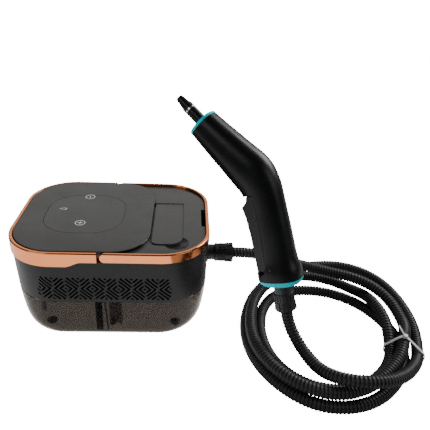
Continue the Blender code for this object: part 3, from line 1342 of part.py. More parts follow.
def make_nozzle(dark, silver, gun):
    """The nozzle tube, its silver ring and the tapered tip."""
    mouth = Vector(gun_point(GUN_STATION_SHARES[-1][:2]))
    way = nozzle_direction()
    bore = TUBE_BORE_RADIUS
    profile = ((bore, -TUBE_SUNK), (TUBE_RADIUS, -TUBE_SUNK), (TUBE_RADIUS, TUBE_LENGTH),
               (bore, TUBE_LENGTH))
    finish("nozzle_tube", moved(turned(profile, closed=True), along(mouth, way)), dark, gun)
    start = TUBE_LENGTH + FIT_GAP
    profile = ((bore, start), (SILVER_RADIUS, start), (SILVER_RADIUS, start + SILVER_LENGTH),
               (bore, start + SILVER_LENGTH))
    finish("nozzle_ring", moved(turned(profile, closed=True), along(mouth, way)), silver, gun)
    start += SILVER_LENGTH + FIT_GAP
    collar = start + TIP_COLLAR_LENGTH
    end = collar + TIP_LENGTH
    profile = ((TIP_BORE_RADIUS, start), (SILVER_RADIUS, start), (SILVER_RADIUS, collar),
               (TIP_COLLAR_RADIUS, collar), (TIP_RADIUS, end), (TIP_BORE_RADIUS, end))
    finish("nozzle_tip", moved(turned(profile, closed=True), along(mouth, way)), dark, gun)


def make_trigger(dark, steel, gun):
    """The long trigger on its pin, with its return spring."""
    pivot = Vector(gun_point(TRIGGER_PIVOT_SHARES))
    outline = pivot_arc(TRIGGER_REACH_SHARE * GUN_SIZE, TRIGGER_TOP_ANGLES)
    outline += [Vector(gun_point(shares)) - pivot for shares in TRIGGER_EDGE_SHARES]
    half = TRIGGER_WIDTH / 2
    shape = skin([[(spot.x, side * half, spot.z) for spot in outline] for side in (-1, 1)])
    trigger = finish("trigger", shape, dark, gun, pivot)
    bevel = trigger.modifiers.new("edge", "BEVEL")
    bevel.width = TRIGGER_WIDTH / 10
    bevel.segments = 2
    bevel.limit_method = "ANGLE"
    bevel.angle_limit = math.radians(60)
    radius = TRIGGER_PIN_RADIUS + FIT_GAP
    hole = turned(((radius, -half - OVERRUN), (radius, half + OVERRUN)), SMALL_STEPS)
    cut(trigger, moved(hole, along((0, 0, 0), (0, 1, 0))))
    reach = shell_half_width(TRIGGER_PIVOT_SHARES) - SHELL_WALL / 2
    pin = turned(((TRIGGER_PIN_RADIUS, -reach), (TRIGGER_PIN_RADIUS, reach)), SMALL_STEPS)
    finish("trigger_pin", moved(pin, along(pivot, (0, 1, 0))), steel, gun)


def make_spring(steel, gun):
    """The trigger's return spring: a coil round the pin, beside the trigger."""
    pivot = Vector(gun_point(TRIGGER_PIVOT_SHARES))
    radius = TRIGGER_PIN_RADIUS + SPRING_WIRE_RADIUS + FIT_GAP
    start = TRIGGER_WIDTH / 2 + SPRING_WIRE_RADIUS + FIT_GAP
    points = []
    for step in range(SPRING_TURNS * SPRING_TURN_STEPS + 1):
        turn = 2 * math.pi * step / SPRING_TURN_STEPS
        rise = SPRING_PITCH * step / SPRING_TURN_STEPS
        spot = Vector((radius * math.cos(turn), start + rise, radius * math.sin(turn)))
        points.append(pivot + spot)
    tube("trigger_spring", points, SPRING_WIRE_RADIUS, steel, gun)


def make_switch(dark, gun):
    """The switch block across the two shells, behind the trigger."""
    spot = Matrix.Translation(gun_point(SWITCH_SHARES))
    turn = Matrix.Rotation(-SWITCH_ANGLE, 4, "Y")
    size = (SWITCH_DEPTH, GRIP_WIDTH * SWITCH_WIDTH_SHARE, SWITCH_HEIGHT)
    finish("trigger_switch", moved(box(size, (0, 0, 0)), spot @ turn), dark, gun)


def make_gun_pipe(material, gun):
    """The steam pipe through the handle to the nozzle."""
    route = [gun_point(shares) for shares in GUN_PIPE_SHARES]
    mouth = Vector(gun_point(GUN_STATION_SHARES[-1][:2]))
    way = nozzle_direction()
    end = mouth - way * (TUBE_SUNK + FIT_GAP)
    route += [end - way * PIPE_RADIUS * 2, end]
    first = end_direction() * (GUN_GLAND_LENGTH + GUN_GLAND_REACH + FIT_GAP)
    route = [first, first + end_direction() * PIPE_RADIUS * 2] + route
    points = even_points(smooth_curve(route, PIPE_SAMPLES), GUN_PIPE_POINTS)
    tube("gun_steam_pipe", points, PIPE_RADIUS, material, gun)


def make_gun_gland(material, gun):
    """The gland where the hose meets the gun's end cap."""
    bore = HOSE_BORE_RADIUS
    start = FIT_GAP
    nut = GLAND_NUT_RADIUS
    stem = GLAND_STEM_RADIUS
    shoulder = GUN_GLAND_LENGTH
    end = shoulder + GUN_GLAND_REACH
    profile = ((bore, start), (nut * GLAND_TAPER_SHARE, start), (nut, start + GLAND_CLAW_LENGTH),
               (nut, shoulder), (stem, shoulder), (stem, end), (bore, end))
    shape = moved(turned(profile, closed=True), along((0, 0, 0), end_direction()))
    finish("gun_gland", shape, material, gun)


def make_gun_screws(steel, gun):
    """The screws that hold the gun's shells together, set in its far side."""
    for index, shares in enumerate(GUN_SCREW_SHARES):
        start = SCREW_HEAD_HEIGHT - shell_half_width(shares)
        profile = ((SCREW_RADIUS, -GUN_SCREW_DEPTH), (SCREW_RADIUS, 0))
        spot = along(gun_point(shares, start), (0, -1, 0))
        screw = moved(turned(profile, SMALL_STEPS), spot)
        finish("gun_screw_%d" % (index + 1), screw, steel, gun)


def shell_half_width(shares):
    """The gun's half width at a point of its profile, from the nearest station."""
    point = Vector(gun_point(shares))
    station = min(GUN_STATION_SHARES,
                  key=lambda each: (point - Vector(gun_point(each[:2]))).length)
    turn = math.radians(station[2])
    across = Vector((-math.sin(turn), 0, math.cos(turn)))
    offset = abs((point - Vector(gun_point(station[:2]))) @ across)
    share = min(offset / (GRIP_DEPTH * station[3] / 2), 1.0)
    return GRIP_WIDTH * station[4] / 2 * (1 - share ** SHELL_ROUND) ** (1 / SHELL_ROUND)


def make_base():
    """Every piece of the base unit."""
    smoke = make_material("smoked_clear_plastic", (0.06, 0.05, 0.045), 0.12)
    black = make_material("satin_black_plastic", (0.018, 0.018, 0.020), 0.42)
    deck = make_material("charcoal_deck", (0.085, 0.083, 0.080), 0.30)
    gold = make_material("rose_gold_plating", (0.86, 0.47, 0.33), 0.18, 1.0)
    rubber = make_material("black_rubber", (0.03, 0.03, 0.03), 0.8)
    steel = make_material("bright_steel", (0.62, 0.62, 0.62), 0.3, 1.0)
    alloy = make_material("cast_aluminium", (0.55, 0.55, 0.56), 0.5, 1.0)
    green = make_material("circuit_board", (0.02, 0.16, 0.07), 0.5)
    clear = make_material("silicone_tube", (0.7, 0.7, 0.68), 0.4)
    make_tank(smoke)
    make_gasket(rubber)
    make_feet(rubber)
    make_pillars(black, steel)
    make_chassis(black)
    make_body(black)
    make_rim(gold)
    make_handle(gold, steel)
    make_cover(deck)
    make_deck(deck)
    make_panel(deck, green)
    make_flap(deck, steel)
    make_neck(black, rubber)
    make_boiler(alloy, black, steel)
    make_pump(alloy, rubber)
    make_pipes(clear)
    make_valve(alloy)
    make_supply(green)
    make_inlet(black)
    make_gland(black)


def make_gun():
    """Every piece of the steam gun, under one turned empty."""
    gun = add_empty("gun_frame", GUN_FOOT, (GUN_LEAN, 0, GUN_YAW))
    grip = make_material("satin_black_grip", (0.012, 0.012, 0.013), 0.38)
    teal = make_material("teal_plastic", (0.0, 0.36, 0.42), 0.35)
    silver = make_material("silver_ring", (0.75, 0.75, 0.75), 0.25, 1.0)
    steel = make_material("gun_steel", (0.55, 0.55, 0.55), 0.35, 1.0)
    pipe = make_material("gun_pipe", (0.7, 0.7, 0.68), 0.4)
    make_gun_shells(grip, gun)
    make_gun_ends(teal, gun)
    make_nozzle(grip, silver, gun)
    make_trigger(grip, steel, gun)
    make_spring(steel, gun)
    make_switch(grip, gun)
    make_gun_pipe(pipe, gun)
    make_gun_gland(grip, gun)
    make_gun_screws(steel, gun)


def make_hose_and_tie():
    """The hose with its cable tie."""
    make_hose(make_material("ribbed_hose", (0.012, 0.012, 0.012), 0.35))
    make_tie(make_material("white_nylon", (0.85, 0.85, 0.85), 0.4))


def main():
    """Build the whole steam cleaner."""
    clear_scene()
    make_base()
    make_gun()
    make_hose_and_tie()


main()
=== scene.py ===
# %% [markdown]
# # A portable steam cleaner, dressed for its portrait
# The machine is a low base unit with a smoked water tank under a black body, a rose gold rim
# and a dark deck. A long ribbed hose leaves its right side, lies in loops and ends in a steam gun.
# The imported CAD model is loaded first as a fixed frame. Every piece below is put where that frame
# says, so nothing has to be fitted by eye, and each piece rides on the body that it moves with.

import math

import bmesh
import bpy
from mathutils import Matrix, Vector
from mathutils.geometry import convex_hull_2d


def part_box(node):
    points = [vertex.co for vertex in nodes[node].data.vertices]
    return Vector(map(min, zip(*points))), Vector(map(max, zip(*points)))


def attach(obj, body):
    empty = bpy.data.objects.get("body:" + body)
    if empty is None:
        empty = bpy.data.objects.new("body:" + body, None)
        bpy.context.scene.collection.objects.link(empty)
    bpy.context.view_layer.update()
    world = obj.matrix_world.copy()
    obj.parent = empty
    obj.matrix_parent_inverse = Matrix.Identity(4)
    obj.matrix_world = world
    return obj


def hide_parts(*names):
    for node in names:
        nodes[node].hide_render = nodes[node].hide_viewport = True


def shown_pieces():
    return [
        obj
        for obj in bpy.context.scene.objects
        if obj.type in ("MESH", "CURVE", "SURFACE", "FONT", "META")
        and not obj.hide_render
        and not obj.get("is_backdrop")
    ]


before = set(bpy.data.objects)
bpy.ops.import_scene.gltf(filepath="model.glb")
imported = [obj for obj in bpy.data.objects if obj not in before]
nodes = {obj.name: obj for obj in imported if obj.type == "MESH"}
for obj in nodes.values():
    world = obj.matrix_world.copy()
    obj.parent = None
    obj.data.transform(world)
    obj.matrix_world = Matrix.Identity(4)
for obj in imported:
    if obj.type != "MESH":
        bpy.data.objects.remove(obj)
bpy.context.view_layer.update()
scene = bpy.context.scene

# %% [markdown]
# ## Camera and floor
# The photograph is a product shot on white, taken from a little above and slightly to the right of
# the base. The camera's place and turn come from fitting known points of the base to the picture:
# the columns of its matrix are its right, its up and the way back from the object.

# %% The camera at the photograph's angle
def add_object(name, data):
    """A new object with its data, linked into the scene."""
    item = bpy.data.objects.new(name, data)
    scene.collection.objects.link(item)
    return item


PHOTO_WIDTH = 430
FOCAL_PIXELS = 501.95
SENSOR_WIDTH = 36.0
CAMERA_PLACE = (0.0964, -0.6211, 0.4734)
CAMERA_RIGHT = Vector((0.99795, -0.04200, 0.04826))
CAMERA_UP = Vector((-0.02273, 0.47231, 0.88114))
camera_data = bpy.data.cameras.new("product_camera")
camera_data.sensor_width = SENSOR_WIDTH
camera_data.lens = FOCAL_PIXELS / PHOTO_WIDTH * SENSOR_WIDTH
camera = add_object("product_camera", camera_data)
axes = Matrix((CAMERA_RIGHT, CAMERA_UP, CAMERA_RIGHT.cross(CAMERA_UP)))
camera.matrix_world = Matrix.Translation(CAMERA_PLACE) @ axes.transposed().to_4x4()
scene.camera = camera
print("camera lens in millimetres", round(camera_data.lens, 2))

# %% [markdown]
# ## Shared effects as node groups
# Moulded plastic is never one flat colour. It has a fine grain from the tool steel, a slight
# cloudiness where it cooled, and a little dust. These effects are built once as node groups with
# named inputs, and each material below sets its own values. A group gives out only values that
# change over the surface: colours, roughness and heights.

# %% Helpers for node groups
def feed(tree, value, socket):
    """Set a socket to a plain value, or link it to another socket."""
    if isinstance(value, bpy.types.NodeSocket):
        tree.links.new(value, socket)
    else:
        socket.default_value = value


def start_group(name, amounts):
    """A group from a place, a colour and amounts to a colour, a roughness and a height."""
    group = bpy.data.node_groups.new(name, "ShaderNodeTree")
    sockets = [("Vector", "INPUT", "Vector"), ("Colour", "INPUT", "Color")]
    sockets += [(label, "INPUT", "Float") for label in amounts]
    sockets += [("Colour", "OUTPUT", "Color"), ("Roughness", "OUTPUT", "Float"),
                ("Height", "OUTPUT", "Float")]
    for label, way, kind in sockets:
        socket = group.interface.new_socket(label, in_out=way, socket_type="NodeSocket" + kind)
        if way == "INPUT" and kind == "Float":
            socket.default_value = amounts[label]
    given, result = group.nodes.new("NodeGroupInput"), group.nodes.new("NodeGroupOutput")
    return group, given.outputs, result.inputs


def noise(tree, vector, scale, detail):
    """A noise texture that reads a vector."""
    node = tree.nodes.new("ShaderNodeTexNoise")
    for label, value in (("Vector", vector), ("Scale", scale), ("Detail", detail)):
        feed(tree, value, node.inputs[label])
    return node.outputs["Fac"]


def spread(tree, value, *bounds):
    """A value moved from one range to another, clamped at its ends."""
    node = tree.nodes.new("ShaderNodeMapRange")
    labels = ("Value", "From Min", "From Max", "To Min", "To Max")
    for label, bound in zip(labels, (value, *bounds)):
        feed(tree, bound, node.inputs[label])
    return node.outputs["Result"]


def combine(tree, operation, *values):
    """One step of arithmetic on two or three values."""
    node = tree.nodes.new("ShaderNodeMath")
    node.operation = operation
    for socket, value in zip(node.inputs, values):
        feed(tree, value, socket)
    return node.outputs[0]


def mix_colours(tree, factor, first, second):
    """A blend of two colours by a factor."""
    node = tree.nodes.new("ShaderNodeMix")
    node.data_type = "RGBA"
    sockets = {item.identifier: item for item in node.inputs}
    for label, value in (("Factor_Float", factor), ("A_Color", first), ("B_Color", second)):
        feed(tree, value, sockets[label])
    return next(item for item in node.outputs if item.identifier == "Result_Color")


def brighten(tree, colour, amount):
    """A colour with its brightness multiplied by a linked amount."""
    node = tree.nodes.new("ShaderNodeHueSaturation")
    feed(tree, amount, node.inputs["Value"])
    feed(tree, colour, node.inputs["Color"])
    return node.outputs["Color"]


print("group helpers ready")

# %% The moulded surface: grain, clouds and dust
DUST_COLOUR = (0.32, 0.31, 0.30, 1)
moulded_surface, given, result = start_group(
    "moulded_surface",
    {"Grain Scale": 2600.0, "Grain": 0.3, "Cloud": 0.12, "Roughness": 0.4, "Dust": 0.2})
group, where, cloud = moulded_surface, given["Vector"], given["Cloud"]
grain = noise(group, where, given["Grain Scale"], 2.0)
clouds = noise(group, where, 26.0, 4.0)
specks = noise(group, where, 900.0, 5.0)
dust = spread(group, specks, 0.66, 0.74, 0.0, given["Dust"])
# The clouds swing the brightness about one: 1 + cloud * noise - cloud / 2
lift = combine(group, "MULTIPLY_ADD", clouds, cloud, 1.0)
swing = combine(group, "SUBTRACT", lift, combine(group, "MULTIPLY", cloud, 0.5))
clouded = brighten(group, given["Colour"], swing)
feed(group, mix_colours(group, dust, clouded, DUST_COLOUR), result["Colour"])
rough = combine(group, "ADD", given["Roughness"], spread(group, clouds, 0.3, 0.7, -0.05, 0.05))
feed(group, combine(group, "ADD", rough, dust), result["Roughness"])
feed(group, combine(group, "MULTIPLY", grain, given["Grain"]), result["Height"])
print("sockets of the moulded surface", [item.name for item in group.interface.items_tree])

# %% Plated and machined metal: fine lines and haze
metal_surface, given, result = start_group(
    "metal_surface", {"Roughness": 0.25, "Haze": 0.08, "Lines": 0.1})
group, where = metal_surface, given["Vector"]
haze = noise(group, where, 40.0, 4.0)
wave = group.nodes.new("ShaderNodeTexWave")
for label, value in (("Vector", where), ("Scale", 900.0), ("Distortion", 6.0)):
    feed(group, value, wave.inputs[label])
toned = brighten(group, given["Colour"], spread(group, haze, 0.3, 0.7, 0.95, 1.04))
feed(group, toned, result["Colour"])
swing = combine(group, "MULTIPLY", haze, given["Haze"])
feed(group, combine(group, "ADD", given["Roughness"], swing), result["Roughness"])
feed(group, combine(group, "MULTIPLY", wave.outputs["Fac"], given["Lines"]), result["Height"])
print("sockets of the metal surface", [item.name for item in group.interface.items_tree])

# %% [markdown]
# ## Materials
# A material is a Principled shader fed by one of the groups. Numbers that are the same all over,
# such as how metallic a finish is, are set on the shader's own sockets. The patterns read Object
# coordinates, which are metres here because every piece stands at the origin.

# %% Helpers for finishes
GRAIN_DEPTH = 0.00006


def set_inputs(node, values):
    """Set sockets of a node to plain values."""
    for label, value in values.items():
        node.inputs[label].default_value = value


def surfaced(name, group, depth, amounts, plain):
    """A material with a surface group, a bump of some depth and plain values on its shader."""
    material = bpy.data.materials.new(name)
    material.use_nodes = True
    tree = material.node_tree
    shader = tree.nodes["Principled BSDF"]
    surface = tree.nodes.new("ShaderNodeGroup")
    surface.node_tree = group
    set_inputs(surface, amounts)
    set_inputs(shader, plain)
    feed(tree, tree.nodes.new("ShaderNodeTexCoord").outputs["Object"], surface.inputs["Vector"])
    feed(tree, surface.outputs["Colour"], shader.inputs["Base Color"])
    feed(tree, surface.outputs["Roughness"], shader.inputs["Roughness"])
    if depth:
        bump = tree.nodes.new("ShaderNodeBump")
        set_inputs(bump, {"Distance": depth, "Strength": 1.0})
        feed(tree, surface.outputs["Height"], bump.inputs["Height"])
        feed(tree, bump.outputs["Normal"], shader.inputs["Normal"])
    return material


def moulded(name, colour, roughness, grain=0.3, grain_scale=2600.0, cloud=0.12, dust=0.15,
            specular=0.5):
    """A moulded plastic or rubber with its own colour, gloss and grain."""
    return surfaced(name, moulded_surface, GRAIN_DEPTH,
                    {"Colour": (*colour, 1), "Roughness": roughness, "Grain": grain,
                     "Grain Scale": grain_scale, "Cloud": cloud, "Dust": dust},
                    {"Specular IOR Level": specular})


def metal(name, colour, roughness, haze=0.08, lines=0.1, depth=0.00001):
    """A plated or machined metal."""
    return surfaced(name, metal_surface, depth,
                    {"Colour": (*colour, 1), "Roughness": roughness, "Haze": haze,
                     "Lines": lines}, {"Metallic": 1.0})


# %% The finishes of this machine
body_black = moulded("satin_black_body", (0.018, 0.018, 0.019), 0.34, grain=0.5, specular=0.20)
deck_grey = moulded("charcoal_deck_plastic", (0.058, 0.056, 0.053), 0.30, grain=0.18, dust=0.25)
panel_grey = moulded("touch_panel_plastic", (0.056, 0.054, 0.051), 0.26, grain=0.10, dust=0.25)
gun_black = moulded("satin_black_gun", (0.0055, 0.0055, 0.0062), 0.34, grain=0.6, cloud=0.2,
                    specular=0.30)
trigger_black = moulded("trigger_black_plastic", (0.020, 0.020, 0.021), 0.48, grain=0.8)
connector_black = moulded("connector_black_nylon", (0.018, 0.018, 0.018), 0.42, grain=0.5,
                          grain_scale=1500.0)
teal_trim = moulded("teal_trim_plastic", (0.000, 0.780, 0.920), 0.40, grain=0.3, cloud=0.06,
                    dust=0.0, specular=0.05)
rubber_black = moulded("soft_black_rubber", (0.020, 0.020, 0.020), 0.78, grain=0.8,
                       grain_scale=1200.0, specular=0.3)
tie_white = moulded("white_nylon_tie", (0.82, 0.82, 0.81), 0.38, grain=0.2, cloud=0.05,
                    dust=0.0)
tube_clear = moulded("milky_silicone", (0.60, 0.60, 0.57), 0.40, grain=0.2)
board_green = moulded("green_solder_mask", (0.012, 0.110, 0.045), 0.32, grain=0.4,
                      grain_scale=700.0)
key_print = moulded("pale_key_print", (0.86, 0.86, 0.85), 0.45, grain=0.2, dust=0.05)
rose_gold = metal("rose_gold_plating", (1.0, 0.33, 0.125), 0.12, haze=0.05, lines=0.05)
ring_silver = metal("polished_ring_silver", (0.80, 0.80, 0.80), 0.16)
steel_plain = metal("plain_screw_steel", (0.55, 0.55, 0.55), 0.30, lines=0.4, depth=0.00003)
alloy_cast = metal("cast_pump_alloy", (0.50, 0.50, 0.51), 0.46, haze=0.2, lines=0.6,
                   depth=0.00008)
print("finishes", len(bpy.data.materials))

# %% [markdown]
# The water tank is smoked clear plastic. Light is coloured once in each wall that it crosses, so
# the base colour is the tint of one wall, and two walls together give the deep brown-grey of the
# photograph. Transmission and metallic stay plain numbers on the shader, as glass needs.

# %% Smoked clear plastic for the tank
tank_smoke = surfaced("smoked_tank_plastic", moulded_surface, 0.0,
                      {"Colour": (0.240, 0.220, 0.200, 1), "Roughness": 0.04, "Cloud": 0.10,
                       "Dust": 0.0, "Grain": 0.1}, {"Transmission Weight": 1.0, "IOR": 1.12})
print("tank finish", tank_smoke.name)

# %% [markdown]
# The hose is a black convoluted tube with more than six hundred small ribs. Its finish is a plain
# semi-gloss black: the ribs themselves catch the light as rows of small glints. The valleys
# between them get painted shade, a near-black colour, so the rib's own height is stored on the
# mesh and read by the material.

# %% Hose finish that reads the ribs
# Painted shade: the near-black colour painted into the valleys between the ribs.
VALLEY_PAINTED_SHADE = (0.001, 0.001, 0.001, 1)
hose_black = surfaced("ribbed_hose_black", moulded_surface, 0.00004,
                      {"Colour": (0.052, 0.052, 0.053, 1), "Roughness": 0.36, "Cloud": 0.25,
                       "Dust": 0.08, "Grain": 0.4}, {"Specular IOR Level": 0.22})
tree = hose_black.node_tree
base_colour = tree.nodes["Principled BSDF"].inputs["Base Color"]
crest_colour = base_colour.links[0].from_socket
rib = tree.nodes.new("ShaderNodeAttribute")
rib.attribute_name = "rib_height"
# The valleys get the painted shade colour and the crests the hose's own black, by rib height.
feed(tree, mix_colours(tree, rib.outputs["Fac"], VALLEY_PAINTED_SHADE, crest_colour), base_colour)
print("hose finish", hose_black.name)

# %% [markdown]
# ## Helpers for pieces
# Each piece starts as a bmesh, is shaped by bmesh operators and becomes an object at the origin
# with its place in its mesh. The helper below finishes it: it turns faces outwards, shades it
# smooth with sharp edges kept, gives it a material and lets it ride on a body of the frame.

# %% From bmesh to a riding piece
MERGE = 0.000002
SHARP = math.radians(32)


def mesh_from(name, shape):
    """A mesh made from a bmesh, which is then freed."""
    mesh = bpy.data.meshes.new(name)
    shape.to_mesh(mesh)
    shape.free()
    return mesh


def shade(mesh):
    """Shade a mesh smooth and keep its sharp edges."""
    mesh.shade_smooth()
    mesh.set_sharp_from_angle(angle=SHARP)


def add_piece(name, shape, material, stands_for=(), body="base_and_gun"):
    """Turn a bmesh into a piece of the object that rides on a body."""
    bmesh.ops.remove_doubles(shape, verts=shape.verts, dist=MERGE)
    bmesh.ops.recalc_face_normals(shape, faces=shape.faces)
    mesh = mesh_from(name, shape)
    shade(mesh)
    mesh.materials.append(material)
    piece = add_object(name, mesh)
    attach(piece, body)
    if stands_for:
        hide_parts(*stands_for)
    print(name, "faces", len(mesh.polygons))
    return piece


def add_shape(shape, part):
    """Add a second bmesh to a bmesh."""
    mesh = mesh_from("part", part)
    shape.from_mesh(mesh)
    bpy.data.meshes.remove(mesh)


def subtract(piece, *cutters):
    """Cut shapes out of a piece for good, one after another."""
    for shape in cutters:
        bmesh.ops.recalc_face_normals(shape, faces=shape.faces)
        cutter = add_object("cutter", mesh_from("cutter", shape))
        boolean = piece.modifiers.new("cut", "BOOLEAN")
        boolean.operation = "DIFFERENCE"
        boolean.solver = "EXACT"
        boolean.object = cutter
        bpy.context.view_layer.update()
        graph = bpy.context.evaluated_depsgraph_get()
        cut_mesh = bpy.data.meshes.new_from_object(piece.evaluated_get(graph))
        piece.modifiers.clear()
        old, piece.data = piece.data, cut_mesh
        bpy.data.meshes.remove(old)
        bpy.data.objects.remove(cutter)
    shade(piece.data)


print("piece helpers ready")

# %% Outlines and rings
CORNER_STEPS = 22
LEVEL_STEP = 0.2


def plan_points(corners, steps=12):
    """The outline through corners given as x, y and radius, turning left."""
    points = []
    for index, (x, y, radius) in enumerate(corners):
        spot = Vector((x, y))
        before = (Vector(corners[index - 1][:2]) - spot).normalized()
        after = (Vector(corners[(index + 1) % len(corners)][:2]) - spot).normalized()
        middle = spot + (before + after) * radius
        for step in range(steps + 1 if radius else 1):
            turn = math.pi / 2 * step / steps
            points.append(middle - (after * math.cos(turn) + before * math.sin(turn)) * radius)
    return points


def rectangle(low_x, high_x, half_depth, left_radius, right_radius):
    """Corners of a rectangle that is even about the X axis."""
    return ((low_x, half_depth, left_radius), (low_x, -half_depth, left_radius),
            (high_x, -half_depth, right_radius), (high_x, half_depth, right_radius))


def circle_points(x, y, radius, steps=48):
    """Points of a circle."""
    turns = [2 * math.pi * step / steps for step in range(steps)]
    return [Vector((x + radius * math.cos(turn), y + radius * math.sin(turn))) for turn in turns]


def ring_of(shape, points):
    """Vertices through points, and the edges that close them into a ring."""
    verts = [shape.verts.new(point) for point in points]
    return verts, [shape.edges.new(pair) for pair in zip(verts, verts[1:] + verts[:1])]


def bridge_rings(shape, rings, closed=False):
    """Join each ring of edges to the next, and join the last to the first or fill both ends."""
    for before, after in list(zip(rings, rings[1:])) + [(rings[-1], rings[0])] * closed:
        bmesh.ops.bridge_loops(shape, edges=before + after)
    if not closed:
        for edges in (rings[0], rings[-1]):
            bmesh.ops.holes_fill(shape, edges=edges)


def join_levels(rings, closed=False):
    """A body through level rings of plan points: (points, height) from first to last.

    Bridging pairs rings by nearness, which fails for nested rings at one height. So the rings are
    bridged while they stand well apart, and then each is set to its own height.
    """
    shape = bmesh.new()
    made = [ring_of(shape, [(spot[0], spot[1], index * LEVEL_STEP) for spot in points])
            for index, (points, _) in enumerate(rings)]
    bridge_rings(shape, [edges for _, edges in made], closed)
    for (verts, _), (_, z) in zip(made, rings):
        for vert in verts:
            vert.co.z = z
    bmesh.ops.recalc_face_normals(shape, faces=shape.faces)
    return shape


def stack(plans, closed=False):
    """A body through rounded rectangles: (width, depth, radius, height) from first to last."""
    return join_levels([(plan_points(rectangle(-width / 2, width / 2, depth / 2, radius, radius),
                                     CORNER_STEPS), z)
                        for width, depth, radius, z in plans], closed)


print("outline helpers ready")

# %% Simple shapes
def round_edges(shape, edges, width, steps=3):
    """Round some edges of a bmesh."""
    bmesh.ops.bevel(shape, geom=list(edges), offset=width, offset_type="OFFSET", segments=steps,
                    profile=0.5, affect="EDGES", material=-1, clamp_overlap=True)


def placed(shape, place):
    """A shape moved to its place."""
    bmesh.ops.transform(shape, matrix=place, verts=shape.verts)
    return shape


def lay_along(point, direction):
    """The matrix that lays the Z axis along a direction at a point."""
    turn = Vector(direction).to_track_quat("Z", "Y").to_matrix().to_4x4()
    return Matrix.Translation(point) @ turn


def draw_out(shape, extruded, way):
    """Move what an extrusion made along a vector."""
    bmesh.ops.translate(shape, vec=way, verts=[item for item in extruded["geom"]
                                               if isinstance(item, bmesh.types.BMVert)])
    bmesh.ops.recalc_face_normals(shape, faces=shape.faces)


def prism(points, way):
    """A solid drawn out from a flat outline along a vector."""
    shape = bmesh.new()
    face = shape.faces.new([shape.verts.new(point) for point in points])
    draw_out(shape, bmesh.ops.extrude_face_region(shape, geom=[face]), way)
    return shape


def cylinder(radius, length, place, steps=48):
    """A cylinder from a place along its own Z axis, for pieces and cutters."""
    shape = bmesh.new()
    bmesh.ops.create_cone(shape, cap_ends=True, segments=steps, radius1=radius, radius2=radius,
                          depth=length)
    bmesh.ops.translate(shape, vec=(0, 0, length / 2), verts=shape.verts)
    return placed(shape, place)


def block(size, place, edge, steps=3):
    """A block at a place, with its edges rounded."""
    shape = bmesh.new()
    bmesh.ops.create_cube(shape, size=1.0)
    bmesh.ops.scale(shape, vec=size, verts=shape.verts)
    round_edges(shape, shape.edges, edge, steps)
    return placed(shape, place)


def turned_profile(profile, place=Matrix()):
    """A round body spun from (radius, height) pairs of a closed section."""
    shape = bmesh.new()
    points, ring = ring_of(shape, [(radius, 0, z) for radius, z in profile])
    bmesh.ops.spin(shape, geom=points + ring, cent=(0, 0, 0), axis=(0, 0, 1),
                   angle=2 * math.pi, steps=48, use_merge=True, use_duplicate=False)
    bmesh.ops.recalc_face_normals(shape, faces=shape.faces)
    return placed(shape, place)


print("shape helpers ready")
